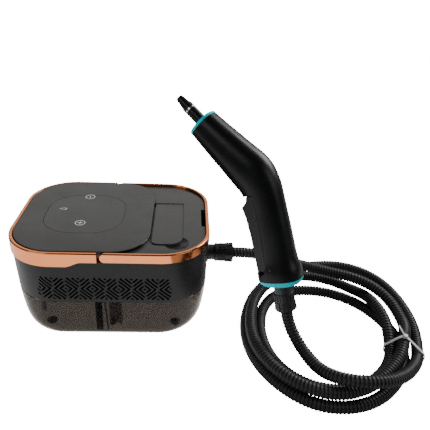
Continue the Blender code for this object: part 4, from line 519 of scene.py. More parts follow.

# %% [markdown]
# ## The ribbed steam hose
# The hose is about 16 mm thick and 2.8 m long, and the photograph shows it from end to end. It
# leaves the base straight, sweeps over the floor in three open loops that lie on each other, is
# held by a cable tie at the right, and rises in a low hump to the gun's foot. Its middle line is a
# smooth B-spline through given points. A curve object with a round bevel makes the tube,
# and the radius of each of its points swings between crest and valley, which gives the ribs.

# %% The hose's middle line
HOSE_RADIUS = 0.008
GLAND_HEIGHT = 0.0805
hose_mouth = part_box("base_gland_nut")[1].x + 0.0003
gun_foot = Vector((0.2279, -0.1183, 0.0709))
hose_route = [
    (hose_mouth, 0.0, GLAND_HEIGHT), (hose_mouth + 2 * HOSE_RADIUS, 0.0, GLAND_HEIGHT),
    (0.208, 0.001, 0.0775), (0.233, 0.005, 0.069), (0.258, 0.01, 0.058),
    (0.283, 0.014, 0.049), (0.307, 0.016, 0.042), (0.328, 0.011, 0.039),
    (0.349, 0.001, 0.04), (0.37, -0.012, 0.039), (0.389, -0.028, 0.034),
    (0.402, -0.047, 0.026), (0.406, -0.068, 0.021), (0.4045, -0.088, 0.0223),
    (0.398, -0.107, 0.027), (0.389, -0.125, 0.0285), (0.38, -0.145, 0.0275),
    (0.368, -0.162, 0.025), (0.351, -0.178, 0.022), (0.33, -0.194, 0.021),
    (0.306, -0.206, 0.021), (0.28, -0.213, 0.023), (0.253, -0.208, 0.024),
    (0.227, -0.193, 0.024), (0.206, -0.168, 0.024), (0.192, -0.139, 0.024),
    (0.188, -0.108, 0.024), (0.19, -0.078, 0.024), (0.196, -0.049, 0.024),
    (0.207, -0.022, 0.024), (0.224, 0.002, 0.024), (0.246, 0.022, 0.022),
    (0.27, 0.036, 0.016), (0.294, 0.044, 0.01), (0.317, 0.043, 0.007),
    (0.338, 0.033, 0.007), (0.355, 0.015, 0.0095), (0.366, -0.007, 0.0165),
    (0.372, -0.03, 0.025), (0.3765, -0.055, 0.027), (0.38, -0.078, 0.0245),
    (0.379, -0.099, 0.0193), (0.376, -0.118, 0.0125), (0.372, -0.135, 0.009),
    (0.361, -0.154, 0.0075), (0.345, -0.17, 0.007), (0.327, -0.183, 0.007),
    (0.306, -0.191, 0.007), (0.284, -0.193, 0.007), (0.262, -0.189, 0.007),
    (0.24, -0.177, 0.007), (0.221, -0.157, 0.007), (0.209, -0.13, 0.007),
    (0.204, -0.1, 0.007), (0.205, -0.069, 0.007), (0.213, -0.038, 0.007),
    (0.229, -0.011, 0.007), (0.251, 0.004, 0.007), (0.277, 0.009, 0.007),
    (0.303, 0.008, 0.007), (0.327, 0.001, 0.007), (0.351, -0.013, 0.007),
    (0.37, -0.034, 0.007), (0.384, -0.058, 0.007), (0.391, -0.085, 0.0075),
    (0.394, -0.111, 0.0085), (0.39, -0.135, 0.0085), (0.38, -0.158, 0.0075),
    (0.364, -0.18, 0.007), (0.343, -0.199, 0.007), (0.319, -0.213, 0.007),
    (0.29, -0.219, 0.007), (0.261, -0.216, 0.007), (0.238, -0.204, 0.007),
    (0.216, -0.184, 0.007), (0.198, -0.157, 0.007), (0.187, -0.128, 0.007),
    (0.183, -0.097, 0.007), (0.185, -0.065, 0.007), (0.193, -0.032, 0.007),
    (0.207, 0.0, 0.007), (0.229, 0.03, 0.007), (0.258, 0.055, 0.007),
    (0.291, 0.073, 0.007), (0.325, 0.081, 0.007), (0.359, 0.081, 0.007),
    (0.389, 0.067, 0.007), (0.411, 0.043, 0.007), (0.423, 0.012, 0.007),
    (0.428, -0.019, 0.007), (0.429, -0.05, 0.007), (0.426, -0.08, 0.007),
    (0.419, -0.105, 0.0078), (0.411, -0.127, 0.0095), (0.402, -0.147, 0.0145),
    (0.388, -0.167, 0.022), (0.371, -0.186, 0.0285), (0.35, -0.202, 0.0355),
    (0.326, -0.211, 0.0405), (0.303, -0.2115, 0.0415), (0.283, -0.204, 0.0385),
    (0.269, -0.1905, 0.033), (0.261, -0.175, 0.0285), (0.255, -0.1605, 0.0275),
    (0.2488, -0.1483, 0.0303), (0.242, -0.1375, 0.0367), (0.2358, -0.1287, 0.0462),
    (0.2308, -0.1223, 0.0578)]
hose_route.append(tuple(gun_foot))


def spline_points(route, samples):
    """Points of a uniform cubic B-spline that starts and ends on the route's ends."""
    points = [Vector(point) for point in route]
    points = [2 * points[0] - points[1]] + points + [2 * points[-1] - points[-2]]
    line = []
    for a, b, c, d in zip(points, points[1:], points[2:], points[3:]):
        for step in range(samples):
            t = step / samples
            line.append(((1 - t) ** 3 * a + (3 * t ** 3 - 6 * t * t + 4) * b
                         + (-3 * t ** 3 + 3 * t * t + 3 * t + 1) * c + t ** 3 * d) / 6)
    return line + [points[-2]]


def points_at(line, marks):
    """Points of a line at the given distances along it."""
    found, index, gone = [], 0, 0.0
    step = (line[1] - line[0]).length
    for mark in marks:
        while mark > gone + step and index < len(line) - 2:
            gone += step
            index += 1
            step = (line[index + 1] - line[index]).length
        found.append(line[index].lerp(line[index + 1], min(1.0, (mark - gone) / step)))
    return found


SAMPLES = 24
hose_line = spline_points(hose_route, SAMPLES)
hose_length = sum((b - a).length for a, b in zip(hose_line, hose_line[1:]))
print("hose length in metres", round(hose_length, 4))

# %% The ribs: a crest and a valley every four and a half millimetres
RIB_PITCH = 0.0045
# Each rib as shares of its pitch, with the hose's radius there as a share of the full one
RIB_SHAPE = ((0.00, 0.940), (0.14, 1.0), (0.40, 1.0), (0.54, 0.940), (0.77, 0.885))
VALLEY = RIB_SHAPE[-1][1]
RING_POINTS = 16
rib_count = round(hose_length / RIB_PITCH)
marks = [hose_length * (rib + share) / rib_count
         for rib in range(rib_count) for share, _ in RIB_SHAPE] + [hose_length]
factors = [factor for _ in range(rib_count) for _, factor in RIB_SHAPE] + [RIB_SHAPE[0][1]]
hose_points = points_at(hose_line, marks)
curve = bpy.data.curves.new("hose_path", "CURVE")
curve.dimensions = "3D"
curve.bevel_depth = HOSE_RADIUS
curve.bevel_resolution = (RING_POINTS - 4) // 2
curve.use_fill_caps = True
spline = curve.splines.new("POLY")
spline.points.add(len(hose_points) - 1)
for point, place, factor in zip(spline.points, hose_points, factors):
    point.co = place.to_4d()
    point.radius = factor
guide = add_object("hose_path", curve)
hose_mesh = bpy.data.meshes.new_from_object(
    guide.evaluated_get(bpy.context.evaluated_depsgraph_get()))
bpy.data.objects.remove(guide)
ring_size = len(hose_mesh.vertices) // len(hose_points)
heights = hose_mesh.attributes.new("rib_height", "FLOAT", "POINT")
for vertex in hose_mesh.vertices:
    factor = factors[min(vertex.index // ring_size, len(factors) - 1)]
    heights.data[vertex.index].value = (factor - VALLEY) / (1 - VALLEY)
welded = bmesh.new()
welded.from_mesh(hose_mesh)
bmesh.ops.remove_doubles(welded, verts=welded.verts, dist=MERGE)
bmesh.ops.recalc_face_normals(welded, faces=welded.faces)
welded.to_mesh(hose_mesh)
welded.free()
hose_mesh.shade_smooth()
hose_mesh.materials.clear()
hose_mesh.materials.append(hose_black)
hose = add_object("steam_hose_ribbed", hose_mesh)
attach(hose, "base_and_gun")
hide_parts("steam_hose")
print("ribs", rib_count, "points in a ring", ring_size, "faces", len(hose_mesh.polygons))

# %% [markdown]
# ## The cable tie
# A white nylon tie holds the four strands at the right of the loops. A tie pulled tight takes the
# shape of a rubber band round them, which is their convex outline. That outline is found in the
# plane square to the strands, drawn out to the strap's width and given a thickness. The ratchet
# head sits on the highest strand and the cut-off tail stands up from it.

# %% The strap round the four strands
STRAND = 0.0083
TIE_WIDTH = 0.0040
TIE_THICKNESS = 0.0011
TIE_REACH = 0.04
above = Vector((0, 0, 1))
tie_middle = Vector((0.3915, -0.1320, 0.0))
tie_across = Vector((0.915, -0.403, 0.0)).normalized()
tie_along = above.cross(tie_across)
crossings = []
for before, after in zip(hose_line, hose_line[1:]):
    first, second = [(end - tie_middle).dot(tie_along) for end in (before, after)]
    if first * second < 0:
        place = before.lerp(after, first / (first - second)) - tie_middle
        if place.xy.length < TIE_REACH:
            crossings.append((place.dot(tie_across), place.z))
cloud = [spot for x, z in crossings for spot in circle_points(x, z, STRAND, 36)]
outline = [cloud[index] for index in convex_hull_2d(cloud)]


def on_tie(spot, lift=0.0):
    """A point of the tie's plane, from its place across and up."""
    return tie_middle + tie_across * spot.x + above * (spot.y + lift)


strap = bmesh.new()
_, edges = ring_of(strap, [on_tie(spot) - tie_along * TIE_WIDTH / 2 for spot in outline])
draw_out(strap, bmesh.ops.extrude_edge_only(strap, edges=edges), tie_along * TIE_WIDTH)
bmesh.ops.solidify(strap, geom=strap.faces, thickness=-TIE_THICKNESS)
print("strands in the tie", len(crossings), "points in its outline", len(outline))

# %% The ratchet head and the tail
HEAD_LIFT = 0.0018
TAIL_LEAN = math.radians(-38)
CORD_STEPS = 900
top_spot = max(outline, key=lambda spot: spot.y)
head_place = Matrix.Translation(on_tie(top_spot, HEAD_LIFT)) \
    @ Matrix((tie_across, tie_along, above)).transposed().to_4x4()
tail_place = head_place @ Matrix.Rotation(TAIL_LEAN, 4, "Y") @ Matrix.Translation((0, 0, 0.009))
add_shape(strap, block((0.0062, 0.0058, 0.0040), head_place, 0.0007))
add_shape(strap, block((0.0010, TIE_WIDTH, 0.016), tail_place, 0.0003, 2))
tie = add_piece("cable_tie", strap, tie_white, ["hose_tie"])
cord_marks = [hose_length * step / CORD_STEPS for step in range(CORD_STEPS + 1)]
[tuple(point) for point in points_at(hose_line, cord_marks)]

# %% [markdown]
# ## The base unit's shell
# The base is a rounded box that narrows a little towards the floor. Its parts share one plan: a
# rectangle with wide round corners, 260 mm by 210 mm at the rim. Each part is a stack of such
# rectangles at several heights, joined with bridged loops, so the corners stay truly round.

# %% Sizes of the base, read from the frame
rim_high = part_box("rim_trim")[1]
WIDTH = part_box("carry_handle")[1].x * 2
DEPTH = rim_high.y * 2
RIM_TOP = rim_high.z
CORNER = 0.063
BAND_BOTTOM = 0.1278
SEAM = 0.061
SEAM_WIDTH = WIDTH - 0.0045
SEAM_DEPTH = DEPTH - 0.016
SKIN = 0.0012
GAP = 0.0003
WALL = 0.0035
print("base in millimetres", round(WIDTH * 1000, 1), round(DEPTH * 1000, 1),
      round(RIM_TOP * 1000, 1))


def body_plan(z, inset=0.0):
    """The body's plan at a height: width, depth, corner radius and height."""
    share = (z - SEAM) / (BAND_BOTTOM - SEAM)
    skin = 2 * (SKIN + GAP)
    width = SEAM_WIDTH + (WIDTH - skin - SEAM_WIDTH) * share - 2 * inset
    depth = SEAM_DEPTH + (DEPTH - skin - SEAM_DEPTH) * share - 2 * inset
    return (width, depth, CORNER - skin / 2 - inset, z)


# %% [markdown]
# The body is a hollow black wall. Its front and back carry a fretwork of short diagonal slots, a
# traditional lattice of nested diamonds, through which the warm air leaves. The wall is a closed
# ring of bridged loops, and the slots are cut with one Boolean of many small blocks, because the
# real slots are holes with dark depth and not a printed pattern.

# %% The body wall
LOW_EDGE = (0.0008, 0.0006)
body_low, body_top = SEAM + GAP, BAND_BOTTOM - GAP
body_middle = (body_low + body_top) / 2
plans = [body_plan(body_low, LOW_EDGE[1])]
plans += [body_plan(z) for z in (body_low + LOW_EDGE[0], body_middle, body_top)]
plans += [body_plan(z, WALL) for z in (body_top, body_middle, body_low)]
body_shell = add_piece("body_wall", stack(plans, closed=True), body_black,
                       ["body_shell"])

# %% The fretwork slots
PITCH = 0.033
FRET_Z = 0.0845
FRET_REACH = PITCH * 0.55
BAR = 0.0024
CUT_DEPTH = 0.014
RUN_STEPS = 8
MOUTH_RADIUS = 0.0118
INLET_RADIUS = 0.0083
INLET_Z = 0.078
# Each stroke is a run of points in shares of the pitch, before the lattice is turned by 45 degrees
FRET_STROKES = (
    ((-0.28, 0.29), (0.29, 0.29), (0.29, -0.20)),
    ((0.28, -0.29), (-0.29, -0.29), (-0.29, 0.20)),
    ((-0.16, 0.15), (0.15, 0.15), (0.15, -0.08)),
    ((0.16, -0.15), (-0.15, -0.15), (-0.15, 0.08)),
    ((-0.045, 0.0), (0.045, 0.0)))


def stroke_cutter(points, place):
    """A square-ended stroke of even width, drawn through the wall."""
    left, right = [], []
    for index, (along, across) in enumerate(points):
        before = Vector(points[max(index - 1, 0)])
        after = Vector(points[min(index + 1, len(points) - 1)])
        spot = Vector((along, across))
        ways = [way.normalized() for way in (spot - before, after - spot) if way.length > 0]
        normal = sum((Vector((-way.y, way.x)) for way in ways), Vector((0, 0))) * (BAR / 2)
        left.append(spot * PITCH + normal)
        right.append(spot * PITCH - normal)
    outline = [(spot.x, -CUT_DEPTH / 2, spot.y) for spot in left + right[::-1]]
    return placed(prism(outline, (0, CUT_DEPTH, 0)), place)


def inside_run(points, tilt, x, z, ends):
    """The first unbroken part of a stroke that lies inside the lattice's border."""
    dense = []
    for before, after in zip(points, points[1:]):
        dense += [(Vector(before).lerp(Vector(after), step / RUN_STEPS), step == 0)
                  for step in range(RUN_STEPS)]
    dense.append((Vector(points[-1]), True))
    run = []
    for point, corner in dense:
        spot = tilt @ Vector((point.x, 0, point.y)) * PITCH
        if abs(z + spot.z - FRET_Z) < FRET_REACH and ends[0] < x + spot.x < ends[1]:
            run.append((point, corner))
        elif run:
            break
    return [point for index, (point, corner) in enumerate(run)
            if corner or index in (0, len(run) - 1)]


def fret_cutters(side, middle_x, first, last, ends):
    """The slots of one wall; places are counted in half pitches from the middle."""
    cutters = bmesh.new()
    tilt = Matrix.Rotation(math.radians(45), 4, "Y")
    wall_y = side * (body_plan(FRET_Z)[1] / 2 - WALL / 2)
    for index in range(first, last + 1):
        x = middle_x + index * PITCH / 2
        rows = (FRET_Z,) if index % 2 else (FRET_Z + PITCH / 2, FRET_Z - PITCH / 2)
        for z in rows:
            for points in FRET_STROKES:
                kept = inside_run(points, tilt, x, z, ends)
                if len(kept) > 1:
                    place = Matrix.Translation((x, wall_y, z)) @ tilt
                    add_shape(cutters, stroke_cutter(kept, place))
    return cutters


def middle_of(node):
    """The middle of a node's box at rest."""
    low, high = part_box(node)
    return (low + high) / 2


mouth = cylinder(MOUTH_RADIUS, 0.05, lay_along((0.10, 0, GLAND_HEIGHT), (1, 0, 0)))
inlet = cylinder(INLET_RADIUS, 0.05, lay_along((middle_of("mains_inlet").x, 0.08, INLET_Z),
                                               (0, 1, 0)))
subtract(body_shell, fret_cutters(-1, -0.0018, -5, 5, (-0.088, 0.081)),
         fret_cutters(1, 0.0312, -2, 2, (-0.01, 0.075)), mouth, inlet)
print("body wall faces after cutting", len(body_shell.data.polygons))

# %% [markdown]
# The water tank is a bowl of smoked clear plastic that draws in strongly near its foot. Two skins,
# an outer and an inner, are stacked and closed, so that the wall has a real thickness and light
# bends in it as it does in the real bowl. The feet and the screw heads sit in holes in its floor.

# %% The smoked water tank
TANK_STATIONS = (
    (0.0, 0.800, 0.818), (0.013, 0.832, 0.856), (0.036, 0.860, 0.889), (0.075, 0.886, 0.913),
    (0.13, 0.911, 0.936), (0.20, 0.932, 0.954), (0.30, 0.951, 0.968), (0.45, 0.968, 0.980),
    (0.65, 0.983, 0.990), (0.85, 0.994, 0.997), (1.0, 1.0, 1.0))
TANK_WALL = 0.003


def tank_plan(station, inset=0.0, floor=0.0):
    """The tank's plan at one station, from shares of its height, width and depth."""
    width, depth = SEAM_WIDTH * station[1], SEAM_DEPTH * station[2]
    radius = CORNER - SKIN - GAP - (SEAM_WIDTH - width + SEAM_DEPTH - depth) / 4 - inset
    return (width - 2 * inset, depth - 2 * inset, radius, max(SEAM * station[0], floor))


plans = [tank_plan(station) for station in TANK_STATIONS]
plans += [tank_plan(station, TANK_WALL, TANK_WALL) for station in TANK_STATIONS[:2:-1]]
tank = add_piece("smoked_tank", stack(plans), tank_smoke,
                 ["water_tank"])
holes = []
for name in ("front_left", "front_right", "rear_left", "rear_right"):
    x, y, _ = middle_of("foot_" + name)
    holes.append(cylinder(0.0073, 0.0033, Matrix.Translation((x, y, -0.002))))
for name in ("front", "rear", "left", "right"):
    x, y, _ = middle_of("tank_screw_" + name)
    holes.append(cylinder(0.0035, 0.0037, Matrix.Translation((x, y, -0.002)), 24))
    holes.append(cylinder(0.0019, 0.006, Matrix.Translation((x, y, -0.001)), 24))
subtract(tank, *holes)
print("tank faces", len(tank.data.polygons))

# %% [markdown]
# Behind the tank's front wall the photograph shows a dark upright rib and a thin fin beside it,
# which leans a little. They stiffen the wall and calm the water, and both are moulded blocks.

# %% The rib and the fin inside the tank's front wall
UPRIGHT = (0.0032, 0.0550)
UPRIGHT_PLACE = (-0.0832, 0.0050 + UPRIGHT[1] / 2)
for name, x, width, lean, edge in (("tank_front_rib", -0.0153, 0.0088, 0.0, 0.0006),
                                   ("tank_front_fin", -0.0058, 0.0012, -3.5, 0.0003)):
    place = Matrix.Translation((x, *UPRIGHT_PLACE)) @ Matrix.Rotation(math.radians(lean), 4, "Y")
    add_piece(name, block((width, *UPRIGHT), place, edge), body_black)

# %% [markdown]
# ## The rose gold rim
# A plated band runs round the top. Its left half is fixed and dips into a deeper lobe round the
# left end. Its right half is the carry handle, a bail that turns about two pins in the middle of
# the long sides. Both start as a whole ring stacked from level loops with rounded top edges, which
# a bisecting plane cuts where the handle begins. A polished plating shows every facet, so the ring
# has many points round its corners.

# %% Helpers for the ring
RIM_WIDE = 0.005
RIM_ROUND = 0.0014
OUTSIDE = (WIDTH, DEPTH, CORNER)
INSIDE = (WIDTH - 2 * RIM_WIDE, DEPTH - 2 * RIM_WIDE, CORNER - RIM_WIDE)


def round_top(shape):
    """Round the outer and the inner top edge of a ring."""
    edges = [edge for edge in shape.edges
             if all(abs(vert.co.z - RIM_TOP) < 1e-6 for vert in edge.verts)
             and sum(abs(face.normal.z) < 0.5 for face in edge.link_faces) == 1]
    round_edges(shape, edges, RIM_ROUND)
    return shape


def slice_plane(shape, place, way, **keep):
    """Cut the faces of a shape by a plane, and give the geometry of the cut."""
    everything = list(shape.verts) + list(shape.edges) + list(shape.faces)
    return bmesh.ops.bisect_plane(shape, geom=everything, dist=0.0000005, plane_co=place,
                                  plane_no=way, **keep)["geom_cut"]


def keep_side(shape, x, side):
    """Keep the part of a shape to one side of a plane across X, and close the cut."""
    cut = slice_plane(shape, (x, 0, 0), (side, 0, 0), clear_inner=True)
    edges = [item for item in cut if isinstance(item, bmesh.types.BMEdge)]
    bmesh.ops.holes_fill(shape, edges=edges)
    return shape


print("rim section in millimetres", RIM_WIDE * 1000, round((RIM_TOP - BAND_BOTTOM) * 1000, 1))

# %% The fixed half with its lobe
LOBE_END = -0.049
LOBE_SLOPE = 0.020
LOBE_DROP = 0.0065
LOBE_STEPS = 8
FIXED_END = -0.0098


def lobe_fall(x):
    """How far the lobe has dropped at a place along the rim, smooth at both ends."""
    share = min(1.0, max(0.0, (LOBE_END + LOBE_SLOPE - x) / LOBE_SLOPE))
    return LOBE_DROP * share * share * (3 - 2 * share)


fixed_low = BAND_BOTTOM - GAP - 0.0002
behind = (WIDTH - 2 * SKIN, DEPTH - 2 * SKIN, CORNER - SKIN)
fixed = round_top(stack([(*OUTSIDE, fixed_low), (*OUTSIDE, RIM_TOP), (*INSIDE, RIM_TOP),
                         (*INSIDE, BAND_BOTTOM), (*behind, BAND_BOTTOM),
                         (*behind, fixed_low + 0.00001)], closed=True))
keep_side(fixed, FIXED_END, -1)
for step in range(LOBE_STEPS + 1):
    slice_plane(fixed, (LOBE_END + LOBE_SLOPE * step / LOBE_STEPS, 0, 0), (1, 0, 0))
for vert in fixed.verts:
    if vert.co.z < BAND_BOTTOM - 0.0001:
        vert.co.z -= lobe_fall(vert.co.x)
add_piece("rose_gold_rim", fixed, rose_gold, ["rim_trim"])

# %% [markdown]
# The handle's ends are round, as they have to be to turn on their pins. The ring is cut a little
# further past the pins than half its height, and a cutter with a round hollow shapes both ends.

# %% The carry handle
pivot_z = (RIM_TOP + BAND_BOTTOM) / 2
HANDLE_END = (RIM_TOP - BAND_BOTTOM) / 2
END_ROUND = HANDLE_END - 0.00003
END_SPARE = 0.0005
ring = round_top(stack([(*OUTSIDE, BAND_BOTTOM), (*OUTSIDE, RIM_TOP), (*INSIDE, RIM_TOP),
                        (*INSIDE, BAND_BOTTOM)], closed=True))
handle = add_piece("carry_handle_bail", keep_side(ring, -HANDLE_END - END_SPARE, 1), rose_gold,
                   ["carry_handle"], body="handle")
outline = [(0.0, 0.02), (-0.02, 0.02), (-0.02, -0.02), (0.0, -0.02)]
outline += [(-END_ROUND * math.cos(turn), END_ROUND * math.sin(turn))
            for turn in [math.radians(-90 + 180 * step / 32) for step in range(33)]]
subtract(handle, prism([(x, -0.15, pivot_z + z) for x, z in outline], (0, 0.3, 0)))
print("handle faces", len(handle.data.polygons))

# %% [markdown]
# ## The deck
# The top is made of plates with round corners. Each plate starts as a flat outline, is extruded to
# its thickness and gets a small round on its upper edge, as a moulding has. Openings are cut with
# Booleans afterwards, so that they keep dark depth.

# %% Helpers for plates
def plate(points, low, high, edge=0.0, steps=2):
    """A plate from an outline, with its upper edge rounded."""
    shape = prism([(spot[0], spot[1], low) for spot in points], (0, 0, high - low))
    if edge:
        upper = [line for line in shape.edges
                 if all(vert.co.z > high - 0.000001 for vert in line.verts)]
        round_edges(shape, upper, edge, steps)
    return shape


def rounded(*sizes):
    """The outline of a rectangle with fine round corners, sized as rectangle() takes it."""
    return plan_points(rectangle(*sizes), 20)


def wall(outer, inner, low, high):
    """A closed wall between two outlines."""
    return join_levels([(outer, low), (outer, high), (inner, high), (inner, low)], closed=True)


def open_edges(piece):
    """How many edges of a piece don't join exactly two faces."""
    shape = bmesh.new()
    shape.from_mesh(piece.data)
    found = sum(not line.is_manifold for line in shape.edges)
    shape.free()
    return found


print("plate helpers ready")

# %% The lower deck with its wells, dish and finger notch
COVER_LOW, COVER_TOP = 0.131, 0.1365
DECK_TOP = 0.1405
DECK_INSET = 0.0055
DECK_CORNER = 0.0575
FLAP_X = (0.0525, 0.0940)
FLAP_Y = (-0.0745, 0.0420)
FLAP_FLOOR = 0.0033
FLAP_CORNER = 0.008
FLAP_ROOM = 0.0005
# The dish's middle, its radius and its depth
DISH = (0.0860, -0.0690, 0.0165, 0.0046)
DISH_SPARE = 0.0020
half_width, half_depth = WIDTH / 2 - DECK_INSET, DEPTH / 2 - DECK_INSET
cover = add_piece(
    "lower_deck", plate(rounded(-half_width, half_width, half_depth, DECK_CORNER, DECK_CORNER),
                        COVER_LOW, COVER_TOP, 0.0005), deck_grey, ["top_cover"])


def flap_points(left, right, front, back, left_radius, right_radius):
    """The outline of the filler flap or its pocket, with square corners at the back."""
    return plan_points(((left, back, 0), (left, front, left_radius),
                        (right, front, right_radius), (right, back, 0)))


def dish_cutter():
    """A shallow ball cap that dishes the deck under the flap's corner."""
    x, y, radius, depth = DISH
    ball = (radius * radius + depth * depth) / (2 * depth)
    shape = bmesh.new()
    bmesh.ops.create_uvsphere(shape, u_segments=160, v_segments=160, radius=ball)
    far = [vert for vert in shape.verts if vert.co.z > -ball + depth + DISH_SPARE]
    bmesh.ops.delete(shape, geom=far, context="VERTS")
    bmesh.ops.holes_fill(shape, edges=[line for line in shape.edges if line.is_boundary])
    bmesh.ops.translate(shape, vec=(x, y, COVER_TOP + ball - depth), verts=shape.verts)
    return shape


pocket = flap_points(FLAP_X[0] - FLAP_ROOM, FLAP_X[1] + FLAP_ROOM, FLAP_Y[0] - FLAP_ROOM,
                     FLAP_Y[1] + FLAP_ROOM, FLAP_CORNER, FLAP_CORNER)
well = cylinder(0.0163, 0.02, Matrix.Translation((0.072, -0.022, 0.125)), 64)
notch = block((0.0062, 0.049, 0.02), Matrix.Translation((half_width - 0.0021, 0, 0.134)), 0.0003)
pivots = [cylinder(0.0019, 0.012, lay_along((0, side * (half_depth - 0.010), pivot_z),
                                            (0, side, 0)), 24) for side in (-1, 1)]
subtract(cover, plate(pocket, COVER_TOP - FLAP_FLOOR, 0.15), well, dish_cutter(), notch, *pivots)
print("lower deck open edges", open_edges(cover))

# %% [markdown]
# The raised deck carries the touch panel. Its right end is round and stands four millimetres
# above the lower deck, so it throws the dark line that the photograph shows beside the flap.

# %% The raised deck and the touch panel
RAISED_LOW = 0.1368
RAISED_END = (0.052, 0.048)
# The panel's left, its right, its half depth and the radius of its corners
PANEL = (-0.094, 0.013, 0.0555, 0.042)
PANEL_ROOM = 0.0004


def raised_points(room=0.0):
    """The raised deck's outline with some room round it."""
    return rounded(-half_width - room, RAISED_END[0] + room, half_depth + room, DECK_CORNER,
                   RAISED_END[1] + room)


def panel_points(room=0.0):
    """The touch panel's outline with some room round it."""
    left, right, half, radius = PANEL
    return rounded(left - room, right + room, half + room, radius + room, radius + room)


raised = add_piece("raised_deck_plate", plate(raised_points(), RAISED_LOW, DECK_TOP, 0.0006, 3),
                   deck_grey, ["raised_deck"])
subtract(raised, plate(panel_points(), 0.130, 0.150))
add_piece("touch_panel", plate(panel_points(-PANEL_ROOM), RAISED_LOW, DECK_TOP, 0.0003),
          panel_grey, ["control_panel"])
print("raised deck open edges", open_edges(raised))

# %% [markdown]
# The side of the raised deck is a separate black skirt. It is painted shade: a black sheet that
# stands for the shade on the deck's side, which is the darkest line of the photograph's deck. It
# stands 0.15 mm proud and ends under the deck's rounded edge.

# %% The black skirt under the raised deck
SKIRT_OUT, SKIRT_IN = 0.00015, -0.0004
SKIRT_LOW, SKIRT_TOP = 0.1367, DECK_TOP - 0.0007
# Painted shade: a black sheet along the raised deck's side, where its edge is in shade.
shade_skirt = wall(raised_points(SKIRT_OUT), raised_points(SKIRT_IN), SKIRT_LOW, SKIRT_TOP)
add_piece("raised_deck_shade_skirt", shade_skirt, gun_black)

# %% [markdown]
# Three signs are printed on the panel: a minus in a circle, a drop, and a plus in a circle. They
# are read from the right, with their top to the left of the picture. A print is a very thin raised
# layer, so each sign is a flat outline extruded by three hundredths of a millimetre.

# %% The printed signs
PRINT = (DECK_TOP - 0.00001, DECK_TOP + 0.00003)
signs = bmesh.new()


def print_flat(outer, inner=None):
    """Add one printed shape to the signs; an inner outline leaves a hole."""
    add_shape(signs, wall(outer, inner, *PRINT) if inner else plate(outer, *PRINT))


def bar_points(x, y, width, depth):
    """The four corners of a bar in plan."""
    return [(x - width / 2, y - depth / 2), (x + width / 2, y - depth / 2),
            (x + width / 2, y + depth / 2), (x - width / 2, y + depth / 2)]


def cross_points(x, y, reach, half):
    """The twelve corners of a plus sign in plan."""
    quarter = ((reach, -half), (reach, half), (half, half))
    points = []
    for step in range(4):
        turn = Matrix.Rotation(math.pi / 2 * step, 2)
        points += [Vector((x, y)) + turn @ Vector(spot) for spot in quarter]
    return points


def drop_points(x, y, size):
    """A drop's outline: round at its foot and pointed at its top, towards the left."""
    points = []
    for step in range(48):
        turn = 2 * math.pi * step / 48
        round_part = math.sin(turn / 2) ** 1.5
        points.append((x - size * math.cos(turn), y + 0.72 * size * math.sin(turn) * round_part))
    return points


MINUS = (-0.0430, 0.0500)
DROP = (-0.0738, 0.0108)
PLUS = (-0.0430, -0.0285)
for x, y in (MINUS, PLUS):
    print_flat(circle_points(x, y, 0.0070), circle_points(x, y, 0.0057))
print_flat(bar_points(*MINUS, 0.0014, 0.0066))
print_flat(cross_points(*PLUS, 0.0036, 0.0007))
print_flat(drop_points(*DROP, 0.0056), drop_points(DROP[0] + 0.0003, DROP[1], 0.0036))
add_piece("panel_signs", signs, key_print)

# %% [markdown]
# The filler flap lies in its pocket in the lower deck and turns up about a pin at its back. Its
# leaf thins towards the hinge barrel. Its front right corner overhangs the dish in the deck, which
# lets a fingertip under it and makes the dark crescent of the photograph.

# %% The filler flap
axis_y, axis_z = FLAP_Y[1] - 0.0014, 0.1349
FLAP_LEFT = FLAP_X[0] + 0.0019
FLAP_LOW, FLAP_TOP = 0.1335, 0.1379
TAPER_LENGTH, TAPER_DROP = 0.008, 0.0016
taper_start = axis_y - TAPER_LENGTH
leaf = plate(flap_points(FLAP_LEFT, FLAP_X[1], FLAP_Y[0], axis_y, FLAP_CORNER, 0.017),
             FLAP_LOW, FLAP_TOP, 0.0004)
slice_plane(leaf, (0, taper_start, 0), (0, 1, 0))
for vert in leaf.verts:
    past = vert.co.y - taper_start
    if past > 0.00001 and vert.co.z > 0.137:
        vert.co.z -= TAPER_DROP * past / TAPER_LENGTH
flap = add_piece("filler_flap_leaf", leaf, deck_grey, ["filler_flap"],
                 body="flap")
barrel = cylinder(0.0014, FLAP_X[1] - FLAP_LEFT, lay_along((FLAP_LEFT, axis_y, axis_z),
                                                           (1, 0, 0)), 32)
add_piece("filler_flap_barrel", barrel, deck_grey, ["filler_flap"], body="flap")
print("flap open edges", open_edges(flap))

# %% [markdown]
# ## The steam gun
# The gun's handle and barrel are one smooth body that bends in the middle. Its section is a
# rounded rectangle that is given at a dozen stations along its middle line. A smooth curve through
# those numbers gives many more stations, and each neighbour pair is joined with bridged loops. The
# body is two half shells that meet in its middle plane, as they do in moulded guns.

# %% Stations of the gun
gun_place = Matrix.Translation(gun_foot) @ Matrix.Rotation(math.radians(153), 4, "Z") \
    @ Matrix.Rotation(math.radians(10), 4, "X")
GUN_SIZE = 0.2965
GRIP_DEPTH, GRIP_WIDTH = 0.0484, 0.0376
SQUARENESS = 2 / 2.3
HALF_GAP = 0.00015
